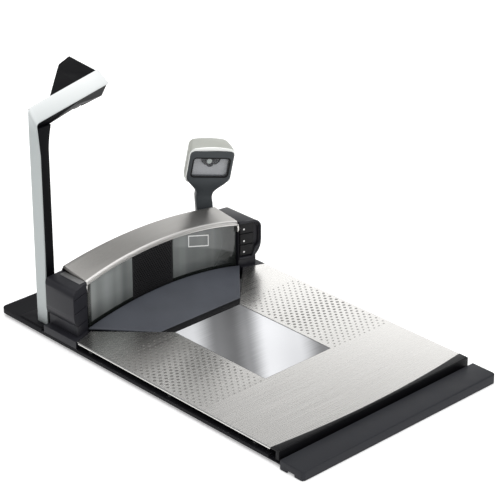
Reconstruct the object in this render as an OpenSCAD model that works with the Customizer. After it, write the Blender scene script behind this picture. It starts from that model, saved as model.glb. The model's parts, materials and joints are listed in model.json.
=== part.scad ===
// In-counter barcode scanner and scale with an overhead reader and a customer scanner.
// Inside the modules, x = 0 is the centreline, y = 0 the platter's front edge and z = 0 the platter's top.
// at_deck() moves them to the part's frame, whose origin is the centre of the base at the lowest face.

/* [Platter] */
// Width of the steel platter
platter_w = 294; // [286:1:300]
// Thickness of the steel sheet
sheet_t = 1.5; // [1:0.1:2]
// How far the platter's front edge bulges forward at the centre
front_bulge = 9; // [6:0.5:9]
// Length of the flat sides of the platter
platter_side_l = 315.5; // [312:0.5:316]

/* [Platter glass] */
// Width of the glass opening
glass_w = 101.2; // [96:0.2:102]
// Front edge of the glass opening
glass_front = 108.4; // [105:0.2:110]
// Rear edge of the glass opening, where the ramp strip starts
glass_rear = 257.4; // [255:0.2:258]
// Thickness of the platter glass
glass_t = 3.8; // [3:0.1:4]

/* [Ramp] */
// Height of the ramp's arch at the centre
ramp_rise = 16.6; // [12:0.2:18]
// Height of the ramp's arch at its ends
ramp_end_rise = 1.8; // [1:0.2:3]
// Depth of the black strip in front of the ramp
strip_l = 11.3; // [9:0.1:13]

/* [Bonnet] */
// Half of the bonnet's width
bonnet_half_w = 117.7; // [116:0.1:117.8]
// Height of the cover's front edge at its ends
front_end_z = 60.5; // [58:0.5:62]
// Height of the cover's front edge at the centre
front_mid_z = 76.7; // [74:0.1:78]
// Height of the cover's rear edge at its ends
rear_end_z = 66; // [64:0.5:68]
// Height of the cover's rear edge at the centre
rear_mid_z = 77.5; // [77:0.1:79]
// Thickness of the two upright panes
pane_t = 3; // [2.5:0.1:3]

/* [Counter frame] */
// Width of the frame that rests on the counter
frame_w = 296; // [290:1:298]
// Rear edge of the rear plate
plate_rear = 457; // [454:1:466]
// Depth of the housing below the counter
housing_depth = 106; // [102:1:114]
// Width of the housing below the counter
housing_w = 266; // [264:1:268]

/* [Front bar] */
// Width of the front bar
bar_w = 301; // [298:1:304]
// Front edge of the front bar
bar_front = -51.5; // [-56:0.5:-48]

/* [Overhead reader] */
// Width of the mast
mast_w = 14.3; // [13:0.1:16]
// Depth of the mast
mast_d = 18; // [16:0.5:20]
// Height of the fold between mast and arm
fold_z = 257.6; // [250:0.2:262]

/* [Customer scanner] */
// Width of the neck
neck_w = 21; // [19:0.5:23]
// Width of the scanner head
head_w = 56; // [54:0.5:60]
// Direction that the head faces, in degrees from the front towards the mast
head_turn = 26.4; // [20:0.2:32]

/* [Buttons] */
// Travel of each push button
button_travel = 1; // [0.6:0.1:1.2]
// Gap around each push button
button_gap = 0.4; // [0.3:0.05:0.5]

/* [Hidden] */

half_w = platter_w / 2;
half_glass = glass_w / 2;
half_frame = frame_w / 2;
half_housing = housing_w / 2;
ledge_z = -14;
// The front bar and the sill behind it hang over the counter's front edge
bar_low = -18;
frame_top = -10;
housing_floor = ledge_z - housing_depth;
wall = 2.5;
bar_rear = -17;
deck_front = -(bar_front + plate_rear) / 2;

// Corner where the steel meets the rear end of the ramp
ramp_rear_x = 119.5;
ramp_rear_y = 325.2;
ramp_back = 330;
ramp_half = 118.5;
ramp_slope = (ramp_rear_x - half_glass) / (ramp_rear_y - glass_rear);
strip_rear = glass_rear + strip_l;
strip_top = 0.2;
strip_half_rear = half_glass + strip_l * ramp_slope;

// Upright panes and bonnet
pane_front = 333;
cover_front = 331.5;
cover_rear = 374.5;
cover_skirt = 5.5;
grille_x = [-48, 14];
arch_steps = 24;

// End caps: inner side, outer side, top, rear, and the angled front face that starts at cap_inner_y
cap_inner = 118;
cap_outer = 146;
cap_top = 59.8;
cap_rear = 375;
cap_inner_y = 331;
cap_angle = atan2(10, 28);
cap_corner_r = 6;
cap_shell = 2.5;
button_s = [1.6, 20];
button_pitch = 14.6;
button_mid_z = 35.3;
button_d = 3.4;
button_stem = 1.6;

// Mast and arm
mast_left = -138;
mast_front = 381;
trim_t = 2;
plate_top = -8;
band_drop = [-13.6, -15.2];
band_run = [100, 19.8];

// Customer scanner
neck_pos = [117, 390];
neck_d = 11;
neck_top = 74;
head_z = 88;
head_nod = 8;
head_roll = 8;
head_back = 5;
head_low = 15;
head_high = 52;

// ---- helpers ----

module at_deck() {
    translate([0, deck_front, -housing_floor]) children();
}

module span_box(x, y, z) {
    translate([x[0], y[0], z[0]]) cube([x[1] - x[0], y[1] - y[0], z[1] - z[0]]);
}

module both_sides() {
    children();
    mirror([1, 0, 0]) children();
}

module slab(z0, z1) {
    translate([0, 0, z0]) linear_extrude(z1 - z0) children();
}

// Extrudes an outline drawn in x and z along y
module upright(y0, y1) {
    translate([0, y1, 0]) rotate([90, 0, 0]) linear_extrude(y1 - y0) children();
}

module rounded_rect(x, y, r) {
    translate([x[0] + r, y[0]]) square([x[1] - x[0] - 2 * r, y[1] - y[0]]);
    translate([x[0], y[0] + r]) square([x[1] - x[0], y[1] - y[0] - 2 * r]);
    for (cx = [x[0] + r, x[1] - r], cy = [y[0] + r, y[1] - r]) translate([cx, cy]) circle(r, $fn = 32);
}

// Height of a shallow circular arch at x, with its ends and crown given
function arch_radius(half, end_z, mid_z) = (half * half + pow(mid_z - end_z, 2)) / (2 * (mid_z - end_z));
function arch_z(x, half, end_z, mid_z) =
    let (r = arch_radius(half, end_z, mid_z)) mid_z - r + sqrt(r * r - x * x);
function arch_points(x0, x1, half, end_z, mid_z, drop) =
    [for (i = [0 : arch_steps])
        let (x = x0 + (x1 - x0) * i / arch_steps) [x, arch_z(x, half, end_z, mid_z) - drop]];

// Area under an arch, down to a flat base
module arch_area(x0, x1, half, end_z, mid_z, drop, base_z) {
    polygon(concat([[x1, base_z], [x0, base_z]], arch_points(x0, x1, half, end_z, mid_z, drop)));
}

// Front edge of the platter, bulging forward by front_bulge
function front_edge(x0, x1) = [for (p = arch_points(x0, x1, half_w, 0, front_bulge, 0)) [p[0], -p[1]]];

// ---- platter ----

module deck_outline() {
    polygon(concat(front_edge(-half_w, half_w),
        [[half_w, platter_side_l], [ramp_rear_x, ramp_rear_y], [half_glass, glass_rear],
         [half_glass, glass_front], [-half_glass, glass_front], [-half_glass, glass_rear],
         [-ramp_rear_x, ramp_rear_y], [-half_w, platter_side_l]]));
}

module platter_deck() {
    lip_z = -3;
    color("#c9c7c2") at_deck() {
        slab(-sheet_t, 0) deck_outline();
        both_sides() {
            span_box([half_w - sheet_t, half_w], [1, platter_side_l - 1], [lip_z, -sheet_t]);
            slab(lip_z, -sheet_t) polygon([[half_w, platter_side_l], [ramp_rear_x, ramp_rear_y],
                [ramp_rear_x - 0.5, ramp_rear_y - 1.5], [half_w - 0.5, platter_side_l - 1.5]]);
        }
    }
}

module platter_backing() {
    edge_x = half_w - 6;
    open_x = half_glass + 3.8;
    rib_z = -5;
    color("#2a2b2e") at_deck() slab(rib_z, -sheet_t) polygon([[-edge_x, -7], [edge_x, -7],
        [edge_x, 312], [117, 320], [open_x, 260.5], [open_x, glass_front - 3.8],
        [-open_x, glass_front - 3.8], [-open_x, 260.5], [-117, 320], [-edge_x, 312]]);
}

module platter_glass() {
    gap = 0.3;
    color("#8b9296") at_deck() span_box([-half_glass + gap, half_glass - gap],
        [glass_front + gap, glass_rear - gap], [-0.2 - glass_t, -0.2]);
}

module glass_gasket() {
    seat_z = -0.2 - glass_t;
    rim = 3.4;
    color("#1c1c1e") at_deck() difference() {
        union() {
            span_box([-half_glass - rim, half_glass + rim], [glass_front - rim, glass_rear + 2.8],
                [seat_z - 2, -sheet_t]);
        }
        span_box([-half_glass, half_glass], [glass_front, glass_rear], [seat_z, 1]);
        span_box([-half_glass + 4, half_glass - 4], [glass_front + 4, glass_rear - 4], [seat_z - 3, 1]);
    }
}

module ramp_blend(drop) {
    hull() {
        slab(-sheet_t - drop, -drop) polygon([[-strip_half_rear, strip_rear], [strip_half_rear, strip_rear],
            [ramp_rear_x, ramp_rear_y], [ramp_half, ramp_back], [-ramp_half, ramp_back],
            [-ramp_rear_x, ramp_rear_y]]);
        upright(ramp_back - 1, ramp_back)
            arch_area(-ramp_half, ramp_half, ramp_half, ramp_end_rise, ramp_rise, drop, -sheet_t - drop);
    }
}

module ramp_panel() {
    skin = 2.2;
    color("#545861") at_deck() difference() {
        ramp_blend(0);
        ramp_blend(skin);
    }
}

module ramp_strip() {
    color("#17181a") at_deck() slab(-sheet_t, strip_top)
        polygon([[-half_glass, glass_rear], [half_glass, glass_rear],
            [strip_half_rear, strip_rear], [-strip_half_rear, strip_rear]]);
}

rail_front = -12.8;
rail_slot = [-12.1, -9.8];
rail_bottom = -11;

module rail_carrier() {
    color("#26282a") at_deck() {
        span_box([-half_w, half_w], [rail_front, rail_slot[0]], [rail_bottom, 0]);
        span_box([-half_w, half_w], [rail_slot[1], rail_slot[1] + 2], [rail_bottom, -sheet_t]);
        slab(-sheet_t, strip_top) polygon(concat([[-half_w, rail_slot[1]]], front_edge(-half_w, half_w),
            [[half_w, rail_slot[1]]]));
        both_sides() span_box([half_w - 2, half_w], rail_slot, [rail_bottom, 0]);
    }
}

module produce_rail() {
    gap = 0.3;
    color("#3a3c3e") at_deck()
        span_box([-half_w + 2.5, half_w - 2.5], [rail_slot[0] + gap, rail_slot[1] - gap], [rail_bottom, 0.4]);
}

// ---- counter frame and housing ----

frame_open = [half_frame - 18, 4, 368];
housing_y = [3.5, 370];
// The housing's rim stands this far up in a rebate under the frame
rim_rise = 1;
rim_gap = 0.2;

module lower_housing() {
    vent_pitch = 12;
    cutout = [[-98, -32], [-64, -42]];
    color("#8d8f92") at_deck() difference() {
        span_box([-half_housing, half_housing], housing_y, [housing_floor, ledge_z + rim_rise]);
        span_box([-half_housing + wall, half_housing - wall], [housing_y[0] + wall, housing_y[1] - wall],
            [housing_floor + 3, ledge_z + rim_rise + 1]);
        span_box(cutout[0], [360, 372], cutout[1]);
        for (x = [-90 : vent_pitch : 90]) span_box([x - 3, x + 3], [-1, 8], [-100, -60]);
    }
}

screw_spots = [[-139, 30], [-139, 165], [-139, 300], [139, 30], [139, 165], [139, 300]];
level_spots = [[-140, -4], [140, -4], [-140, 360], [140, 360]];

module frame_holes(spots, r) {
    for (p = spots) translate([p[0], p[1], ledge_z - 1]) cylinder(h = 12, r = r, $fn = 48);
}

module counter_frame() {
    sill_top = -12.9;
    color("#2b2c30") at_deck() difference() {
        union() {
            slab(ledge_z, frame_top) difference() {
                rounded_rect([-half_frame, half_frame], [2, 380], 0.5);
                translate([-frame_open[0], frame_open[1]])
                    square([2 * frame_open[0], frame_open[2] - frame_open[1]]);
            }
            span_box([-half_frame, half_frame], [bar_rear, frame_open[1]], [ledge_z, sill_top]);
            span_box([-half_housing, half_housing], [bar_rear, housing_y[0] - rim_gap], [bar_low, ledge_z]);
        }
        frame_holes(screw_spots, 2.1);
        frame_holes(level_spots, 2.6);
        span_box([-half_housing - rim_gap, half_housing + rim_gap],
            [housing_y[0] - rim_gap, housing_y[1] + rim_gap], [ledge_z - 1, ledge_z + rim_rise]);
    }
}

module frame_screws() {
    color("#9a9a9a") at_deck() for (p = screw_spots) translate([p[0], p[1], ledge_z]) {
        cylinder(h = frame_top - ledge_z, r = 2, $fn = 32);
        translate([0, 0, frame_top - ledge_z]) difference() {
            cylinder(h = 1.6, r = 3.6, $fn = 32);
            translate([0, 0, 0.8]) cylinder(h = 1, r = 1.4, $fn = 6);
        }
    }
}

module level_screws() {
    color("#9a9a9a") at_deck() for (p = level_spots) translate([p[0], p[1], ledge_z]) difference() {
        cylinder(h = 3.9, r = 2.5, $fn = 32);
        translate([0, 0, 2.4]) cylinder(h = 2, r = 1.3, $fn = 6);
    }
}

module rear_plate() {
    fixing_x = 60;
    color("#26272b") at_deck() difference() {
        slab(ledge_z, plate_top) union() {
            translate([-half_frame, 380]) square([frame_w, 40]);
            rounded_rect([-half_frame, half_frame], [390, plate_rear], 8);
        }
        both_sides() translate([fixing_x, 448, ledge_z - 1]) cylinder(h = 20, r = 2.75, $fn = 48);
        for (y = [386, 394]) translate([-130, y, ledge_z - 1]) cylinder(h = 20, r = 2.1, $fn = 48);
    }
}

module front_bar() {
    corner = 3;
    bar_top = -6;
    foot_notch = [-38, -28];
    color("#4b4b52") at_deck() difference() {
        slab(bar_low, bar_top) polygon([[-bar_w / 2, bar_rear], [bar_w / 2, bar_rear],
            [bar_w / 2, bar_front + corner], [bar_w / 2 - corner, bar_front],
            [-bar_w / 2 + corner, bar_front], [-bar_w / 2, bar_front + corner]]);
        span_box([-bar_w / 2 + wall, bar_w / 2 - wall], [bar_front + corner, bar_rear - wall],
            [bar_low - 1, bar_top - wall]);
        span_box([-bar_w / 2 - 1, -bar_w / 2 + 5], foot_notch, [bar_low - 1, bar_low + 3]);
    }
}

// ---- scale ----

frame_z = [-14, -8];
pad_spots = [[-118, 28], [118, 28], [-118, 290], [118, 290]];
cell_x = [84, 110];
cell_y = [110, 240];
cell_z = [-40, -18];
cell_eyes = [166, 184];
cell_bolts = [[97, 118], [97, 136], [97, 216], [97, 232]];

module weigh_frame() {
    color("#a9acb0") at_deck() difference() {
        union() {
            span_box([-126, 126], [12, 316], frame_z);
            span_box(cell_x, [204, 240], [cell_z[1], frame_z[0]]);
        }
        span_box([-62, 62], [92, 300], [-20, 0]);
        for (s = [-1, 1]) {
            span_box([min(s * 74, s * 112), max(s * 74, s * 112)], [50, 96], [-20, 0]);
            span_box([min(s * 114, s * 120), max(s * 114, s * 120)], [110, 260], [-20, 0]);
        }
        span_box([-54, 54], [26, 78], [-20, 0]);
    }
}

module weigh_pads() {
    color("#1b1b1b") at_deck() for (p = pad_spots)
        translate([p[0], p[1], frame_z[1]]) cylinder(h = 3, r = 6, $fn = 48);
}

module load_cell() {
    color("#b9bcc0") at_deck() difference() {
        span_box(cell_x, cell_y, cell_z);
        for (y = cell_eyes) translate([cell_x[0] - 1, y, -29]) rotate([0, 90, 0])
            cylinder(h = 40, r = 7.5, $fn = 64);
        span_box([cell_x[0] - 1, cell_x[1] + 1], cell_eyes, [-31, -27]);
        for (p = cell_bolts) translate([p[0], p[1], cell_z[0] - 1]) cylinder(h = 24, r = 2.6, $fn = 48);
    }
}

module load_cell_pedestal() {
    color("#8f9296") at_deck() {
        span_box(cell_x, [cell_y[0], cell_y[0] + 34], [-46, cell_z[0]]);
        span_box([cell_x[0] + 8, cell_x[1] - 8], [cell_y[0], cell_y[0] + 34], [housing_floor + 6, -46]);
        span_box(cell_x, [cell_y[0] - 6, cell_y[0] + 40], [housing_floor + 3, housing_floor + 6]);
    }
}

module load_cell_screws() {
    color("#777777") at_deck() for (p = cell_bolts) translate([p[0], p[1], 0]) {
        fixed = p[1] < 180;
        translate([0, 0, cell_z[0]]) cylinder(h = 22, r = 2.5, $fn = 32);
        translate([0, 0, fixed ? cell_z[1] : cell_z[0] - 3]) cylinder(h = 3, r = 4.2, $fn = 32);
    }
}

module overload_stops() {
    gap = 0.5;
    foot_z = housing_floor + 3;
    color("#777777") at_deck() for (p = [[-118, 17], [118, 17], [-75, 308], [75, 308]])
        translate([p[0], p[1], foot_z]) cylinder(h = frame_z[0] - gap - foot_z, r = 2.4, $fn = 32);
}

// ---- lower optics ----

tray_x = 72;
tray_y = [60, 330];
tray_z = [-114, -26];

module optics_tray() {
    color("#1e1f21") at_deck() difference() {
        span_box([-tray_x, tray_x], tray_y, tray_z);
        span_box([-tray_x + 2, tray_x - 2], [tray_y[0] + 2, tray_y[1] - 2], [tray_z[0] + 2, tray_z[1] - 2]);
        span_box([-54, 54], [100, 264], [tray_z[1] - 3, tray_z[1] + 1]);
    }
}

module sealed_window() {
    color("#7f8b8d") at_deck() span_box([-60, 60], [94, 270], [tray_z[1], tray_z[1] + 3]);
}

module tilted_plate(pos, tilt, size) {
    translate(pos) rotate([tilt, 0, 0]) translate([-size[0] / 2, -size[1] / 2, -size[2] / 2]) cube(size);
}

module lower_mirrors() {
    color("#c8d4dc") at_deck() {
        tilted_plate([0, 130, -84], 45, [100, 60, 3]);
        tilted_plate([0, 240, -84], -45, [100, 60, 3]);
    }
}

module imager(lens_r) {
    translate([-9, -9, 0]) cube([18, 18, 12]);
    translate([0, 0, 12]) cylinder(h = 7, r = lens_r, $fn = 48);
}

module lower_imagers() {
    color("#303235") at_deck() for (x = [-26, 26]) translate([x, 186, tray_z[0] + 2]) imager(5.5);
}

module lower_lamp_boards() {
    color("#2f5a3a") at_deck() for (x = [-60, 60]) {
        span_box([x - 1, x + 1], [110, 250], [-108, -70]);
        for (y = [125 : 22 : 235]) translate([x - sign(x), y, -88]) rotate([0, -90 * sign(x), 0])
            cylinder(h = 2, r = 3, $fn = 24);
    }
}

// ---- electronics ----

board_z = housing_floor + 9;

module board(x, y) {
    span_box(x, y, [board_z, board_z + 1.6]);
    for (px = [x[0] + 5, x[1] - 5], py = [y[0] + 5, y[1] - 5])
        translate([px, py, housing_floor + 3]) cylinder(h = 6, r = 2.5, $fn = 24);
}

module main_board() {
    color("#2d6b41") at_deck() {
        board([-128, -78], [176, 340]);
        for (y = [200, 236, 272, 306]) span_box([-116, -94], [y, y + 22], [board_z + 1.6, board_z + 4.6]);
        for (y = [196 : 16 : 324]) translate([-84, y, board_z + 1.6]) cylinder(h = 9, r = 3, $fn = 24);
    }
}

module power_board() {
    color("#2d6b41") at_deck() {
        board([-128, -78], [24, 160]);
        span_box([-120, -92], [40, 74], [board_z + 1.6, board_z + 24]);
        span_box([-120, -110], [90, 146], [board_z + 1.6, board_z + 28]);
        for (y = [94, 116, 138]) translate([-92, y, board_z + 1.6]) cylinder(h = 24, r = 7, $fn = 32);
    }
}

socket_x = [-92, -76, -60];
socket_w = 12;

module connector_block() {
    color("#1d1e20") at_deck() difference() {
        span_box([-98, -32], [350, 371.5], [-64, -42]);
        for (x = socket_x) span_box([x, x + socket_w], [357, 373], [-59, -49]);
        translate([-38.5, 373, -54]) rotate([90, 0, 0]) cylinder(h = 12, r = 3, $fn = 48);
    }
}

// ---- bonnet ----

module front_arch(x0, x1, drop, base_z) {
    arch_area(x0, x1, bonnet_half_w, front_end_z, front_mid_z, drop, base_z);
}

module cover_blend(half, y0, y1, drop, base_z) {
    hull() {
        upright(y0, y0 + 0.5) front_arch(-half, half, drop, base_z);
        upright(y1 - 0.5, y1) arch_area(-half, half, bonnet_half_w, rear_end_z, rear_mid_z, drop, base_z);
    }
}

module bonnet_cover() {
    wide = bonnet_half_w + 2;
    color("#9b9892") at_deck() difference() {
        cover_blend(bonnet_half_w, cover_front, cover_rear, 0, 50);
        cover_blend(bonnet_half_w - sheet_t, cover_front + sheet_t, cover_rear - sheet_t, sheet_t, 20);
        hull() {
            upright(cover_front - 1, cover_front - 0.5)
                arch_area(-wide, wide, wide + 1, front_end_z, front_mid_z, cover_skirt, 20);
            upright(cover_rear + 0.5, cover_rear + 1)
                arch_area(-wide, wide, wide + 1, rear_end_z, rear_mid_z, cover_skirt, 20);
        }
    }
}

pane_drop = sheet_t + 0.4;
pane_low = -4;

module left_window() {
    color("#6f7a78") at_deck() upright(pane_front, pane_front + pane_t)
        front_arch(-bonnet_half_w + 2, grille_x[0] - 0.2, pane_drop, pane_low);
}

module right_window() {
    color("#6f7a78") at_deck() upright(pane_front, pane_front + pane_t)
        front_arch(grille_x[1] + 0.2, bonnet_half_w - 2, pane_drop, pane_low);
}

module speaker_grille() {
    color("#161618") at_deck() difference() {
        upright(pane_front, pane_front + 2.5) front_arch(grille_x[0], grille_x[1], pane_drop, pane_low);
        for (z = [18 : 4 : 66])
            span_box([grille_x[0] + 4, grille_x[1] - 4], [pane_front - 1, pane_front + 4], [z, z + 1.6]);
    }
}

module speaker() {
    color("#222222") at_deck() translate([-17, 337, 42]) rotate([-90, 0, 0]) {
        rotate_extrude($fn = 64)
            polygon([[0, 8], [6, 8], [18, 1], [20, 0], [24, 0], [24, 3], [19, 5], [12, 14],
                [12, 22], [0, 22]]);
    }
}

rear_wall = [370, 373];

module bonnet_frame() {
    side = bonnet_half_w - 1.7;
    color("#202124") at_deck() {
        span_box([-side, side], [pane_front, 340], [ledge_z - 2, pane_low]);
        both_sides() {
            span_box([side - 3, side], [336.2, rear_wall[0]], [pane_low, front_end_z - 2.2]);
            span_box([side - 3, side], [340, rear_wall[0]], [frame_top, pane_low]);
            span_box([side, side + 16], [340, 366], [frame_top, frame_top + 3]);
        }
        difference() {
            upright(336.2, 338.2) front_arch(-side + 3, side - 3, pane_drop, pane_low);
            upright(336, 339) front_arch(-side + 9, grille_x[0] - 6, pane_drop + 6, 4);
            upright(336, 339) front_arch(grille_x[0] + 2, grille_x[1] - 2, pane_drop + 6, 12);
            upright(336, 339) front_arch(grille_x[1] + 6, side - 9, pane_drop + 6, 4);
        }
        span_box([-side + 3, side - 3], [340, rear_wall[0]], [pane_low - 3, pane_low]);
    }
}

module bonnet_rear_cover() {
    half = bonnet_half_w - 1.7;
    color("#1c1d1f") at_deck() upright(rear_wall[0], rear_wall[1] - 0.2)
        arch_area(-half, half, bonnet_half_w, rear_end_z, rear_mid_z, pane_drop, frame_top);
}

module upper_imagers() {
    color("#303235") at_deck() for (x = [-84, 62]) translate([x, 366, 24]) rotate([90, 0, 0]) imager(5);
}

module upper_mirrors() {
    color("#c8d4dc") at_deck() for (x = [-100, 44, 92])
        translate([x, 350, 32]) rotate([0, 0, 20]) cube([16, 2, 44], center = true);
}

module upper_lamp_boards() {
    color("#2f5a3a") at_deck() for (x = [-66, 76]) {
        span_box([x - 14, x + 14], [360, 361.6], [44, 60]);
        for (dx = [-9, 0, 9])
            translate([x + dx, 360, 52]) rotate([90, 0, 0]) cylinder(h = 1.5, r = 2.5, $fn = 24);
    }
}

// ---- end caps and buttons ----

function arc(cx, cy, r, from, to, steps) =
    [for (i = [0 : steps]) let (a = from + (to - from) * i / steps) [cx + r * cos(a), cy + r * sin(a)]];

// Front view of a cap: a rounded top, an upright side and an undercut down to the foot
module cap_profile(inset, inner_x, low) {
    top_r = 9;
    tuck_r = 26;
    side_top = cap_top - 1.5 - top_r;
    side_low = 30;
    foot_x = cap_outer - 7;
    tuck_end = -acos((foot_x - cap_outer + tuck_r) / tuck_r);
    polygon(concat([[inner_x, low], [inner_x, cap_top - inset]],
        arc(cap_outer - top_r, side_top, top_r - inset, 90, 0, 8),
        arc(cap_outer - tuck_r, side_low, tuck_r - inset, 0, tuck_end, 8),
        [[foot_x - inset, low]]));
}

// Plan of a cap, with its front face angled towards the platter
module cap_plan(inset, inner_x) {
    lean = inset / cos(cap_angle);
    rear = cap_rear - inset;
    outer = cap_outer - inset;
    front = cap_inner_y + lean - (outer - cap_inner) * tan(cap_angle);
    polygon(concat([[inner_x, rear], [inner_x, cap_inner_y + lean]], [[outer, front]],
        arc(outer - cap_corner_r, rear - cap_corner_r, cap_corner_r, 0, 90, 6)));
}

module cap_block(inset, inner_x, low) {
    intersection() {
        slab(low, cap_top + 1) cap_plan(inset, inner_x);
        upright(300, 380) cap_profile(inset, inner_x, low);
    }
}

module cap_plinth() {
    slab(frame_top, -0.5) polygon([[cap_inner, cap_rear], [cap_inner, 332], [120.8, 332], [120.8, 326.1],
        [half_frame, 316.6], [half_frame, cap_rear]]);
}

module cap_shell_solid() {
    difference() {
        union() {
            cap_block(0, cap_inner, frame_top);
            cap_plinth();
        }
        cap_block(cap_shell, cap_inner - 3, frame_top - 2);
    }
}

// Local frame on the right cap's angled front face: x from its inner edge outwards, -y out of the face
module at_cap_face() {
    translate([cap_inner, cap_inner_y, 0]) rotate([0, 0, -cap_angle]) children();
}

module left_end_cap() {
    seam = 0.8;
    color("#33343a") at_deck() mirror([1, 0, 0]) difference() {
        cap_shell_solid();
        at_cap_face() for (i = [-1.5 : 1 : 0.5]) let (z = button_mid_z + i * button_pitch)
            span_box([3, 26], [-1, seam], [z, z + seam]);
    }
}

module right_end_cap() {
    color("#2b2c31") at_deck() difference() {
        cap_shell_solid();
        at_cap_face() span_box([button_s[0] - button_gap, button_s[1] + button_gap],
            [-3, button_d + button_travel + button_gap + 0.2],
            [button_mid_z - 1.5 * button_pitch, button_mid_z + 1.5 * button_pitch]);
    }
}

module push_button(i) {
    z = button_mid_z + i * button_pitch;
    half_h = button_pitch / 2 - button_gap;
    color("#1d1e21") at_deck() at_cap_face() {
        span_box(button_s, [-0.4, button_d], [z - half_h, z + half_h]);
        translate([(button_s[0] + button_s[1]) / 2, button_d + button_stem, z]) rotate([90, 0, 0])
            cylinder(h = button_stem, r = 2, $fn = 32);
    }
}

module upper_button() {
    push_button(1);
}

module middle_button() {
    push_button(0);
}

module lower_button() {
    push_button(-1);
}

module button_board() {
    board_y = button_d + button_stem + button_travel + 0.5;
    color("#2d6b41") at_deck() at_cap_face() {
        span_box([3, 15.5], [board_y, board_y + 1.4], [14, 55]);
        for (i = [-1, 0, 1]) translate([10.8, board_y, button_mid_z + i * button_pitch]) rotate([90, 0, 0])
            cylinder(h = 0.3, r = 3, $fn = 32);
    }
}

module cap_strip() {
    color("#a9aaac") at_deck() mirror([1, 0, 0])
        span_box([cap_inner + 0.6, cap_inner + 8], [333, 370], [cap_top, cap_top + 0.5]);
}

// ---- overhead reader ----

// Corners of the arm's front band, left to right along its upper then its lower edge, as [x, y, z]
mast_rear = mast_front + mast_d;
band_a = [mast_left + trim_t, mast_rear, fold_z];
band_b = band_a + [0, band_drop[0], band_drop[1]];
band_c = band_a + [band_run[0], 0, band_run[1]];
band_d = band_c + [4.5, band_drop[0], band_drop[1] + 4.5 * band_run[1] / band_run[0]];
band_t = 2.5;
band_normal = cross([band_run[0], 0, band_run[1]], [0, band_drop[0], band_drop[1]]);
band_in = band_normal / norm(band_normal);
band_back = band_t * band_in;

// A point behind the band: u along it, v across it from its upper edge, depth behind its front
function behind(u, v, depth) =
    band_a + [u * band_run[0], v * band_drop[0], u * band_run[1] + v * band_drop[1]] + depth * band_in;

module solid_between(front, back) {
    polyhedron(points = concat(front, back), faces = [[0, 1, 2, 3], [7, 6, 5, 4], [0, 4, 5, 1], [1, 5, 6, 2],
        [2, 6, 7, 3], [3, 7, 4, 0]]);
}

module mast_column() {
    x0 = mast_left + trim_t;
    x1 = mast_left + mast_w;
    flare_z = 212;
    color("#1f1f22") at_deck() {
        span_box([x0, x1], [mast_front, mast_rear], [plate_top, flare_z]);
        hull() {
            span_box([x0, x1], [mast_front, mast_rear], [flare_z, flare_z + 0.5]);
            span_box([x0, x1 + 3], [mast_front + 1.5, mast_rear], [flare_z + 12, flare_z + 12.5]);
            span_box([x0, x1 + 7], [mast_front + 3.5, mast_rear], [flare_z + 24, flare_z + 24.5]);
        }
    }
}

module mast_trim() {
    color("#c8cccc") at_deck() translate([mast_left, 0, 0]) rotate([90, 0, 90]) linear_extrude(trim_t)
        polygon([[mast_rear, plate_top], [mast_front, plate_top], [mast_front, 200], [mast_front + 1, 214],
            [mast_front + 2.4, 226], [band_b[1], band_b[2]], [band_a[1], band_a[2]]]);
}

module arm_band() {
    front = [band_a, band_c, band_d, band_b];
    color("#eceeee") at_deck() solid_between(front, [for (p = front) p + band_back]);
}

// The reader's body behind the band; inset makes the hollow
module reader_solid(inset) {
    i = inset;
    near = band_t + 0.3 + i;
    hull() {
        tiny_at(behind(0.99, 0.03, near) - [i, 0, i]);
        tiny_at(behind(1.03, 0.97, near) - [i, 0, -i]);
        tiny_at(behind(0.3, 0.05, near) + [i, 0, -i]);
        tiny_at(behind(0.3, 0.9, near) + [i, 0, i]);
        tiny_at([-36.5 - i, 450 - i, 279 - i]);
        tiny_at([-58, 442 - i, 277 - i]);
        tiny_at([-66 + i, 435 - i, 275 - i]);
        tiny_at([-37 - i, 450 - i, 250 + i]);
        tiny_at([-64 + i, 434 - i, 246 + i]);
        tiny_at([-38 - i, 418, 231 + i]);
        tiny_at([-68 + i, 404, 236 + i]);
        tiny_at([-36 - i, 394 + i, 246.5 + i]);
        tiny_at([-68 + i, 394 + i, 245 + i]);
    }
}

module tiny_at(p) {
    translate(p) cube(0.2, center = true);
}

module reader_arm() {
    near = band_t + 0.3;
    hull() {
        translate([mast_left + trim_t, band_b[1] + 2.4, 236.5])
            cube([mast_w + 5, mast_rear - band_b[1] - 2.6, 0.5]);
        for (u = [0.002, 0.68], v = [0.02, 0.98]) tiny_at(behind(u, v, near));
        tiny_at(behind(0.28, 0.2, 8));
        tiny_at(behind(0.28, 1, 8));
        tiny_at(behind(0.68, 0.1, 14));
        tiny_at(behind(0.68, 1.1, 18));
    }
}

// Frame of the window on the underside: x along the arm, z out of the window
module at_reader_window() {
    translate([-52, 405.8, 238.6]) rotate([146, 0, 0]) children();
}

module reader_housing() {
    color("#1d1d20") at_deck() difference() {
        union() {
            reader_solid(0);
            reader_arm();
        }
        reader_solid(2.5);
        at_reader_window() span_box([-11, 11], [-8, 8], [-6, 6]);
    }
}

module reader_window() {
    color("#0c0d10") at_deck() at_reader_window() span_box([-10.8, 10.8], [-7.8, 7.8], [-1.6, -0.2]);
}

module reader_imager() {
    color("#303235") at_deck() at_reader_window() translate([0, 0, -22]) {
        translate([-6, -6, 0]) cube([12, 12, 8]);
        translate([0, 0, 8]) cylinder(h = 6, r = 4, $fn = 48);
    }
}

module reader_lamp_board() {
    color("#2f5a3a") at_deck() at_reader_window() difference() {
        span_box([-7.5, 7.5], [-6, 6], [-6.4, -5.4]);
        translate([0, 0, -8]) cylinder(h = 4, r = 4.4, $fn = 48);
    }
}

module mast_foot_cover() {
    color("#34353a") at_deck() difference() {
        slab(plate_top, plate_top + 1.4)
            polygon([[-146, 382], [-112, 382], [-112, 404], [-122, 422], [-146, 422]]);
        span_box([mast_left - 0.2, mast_left + mast_w + 0.2], [mast_front - 2, mast_rear + 0.2],
            [plate_top - 1, 0]);
    }
}

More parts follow.
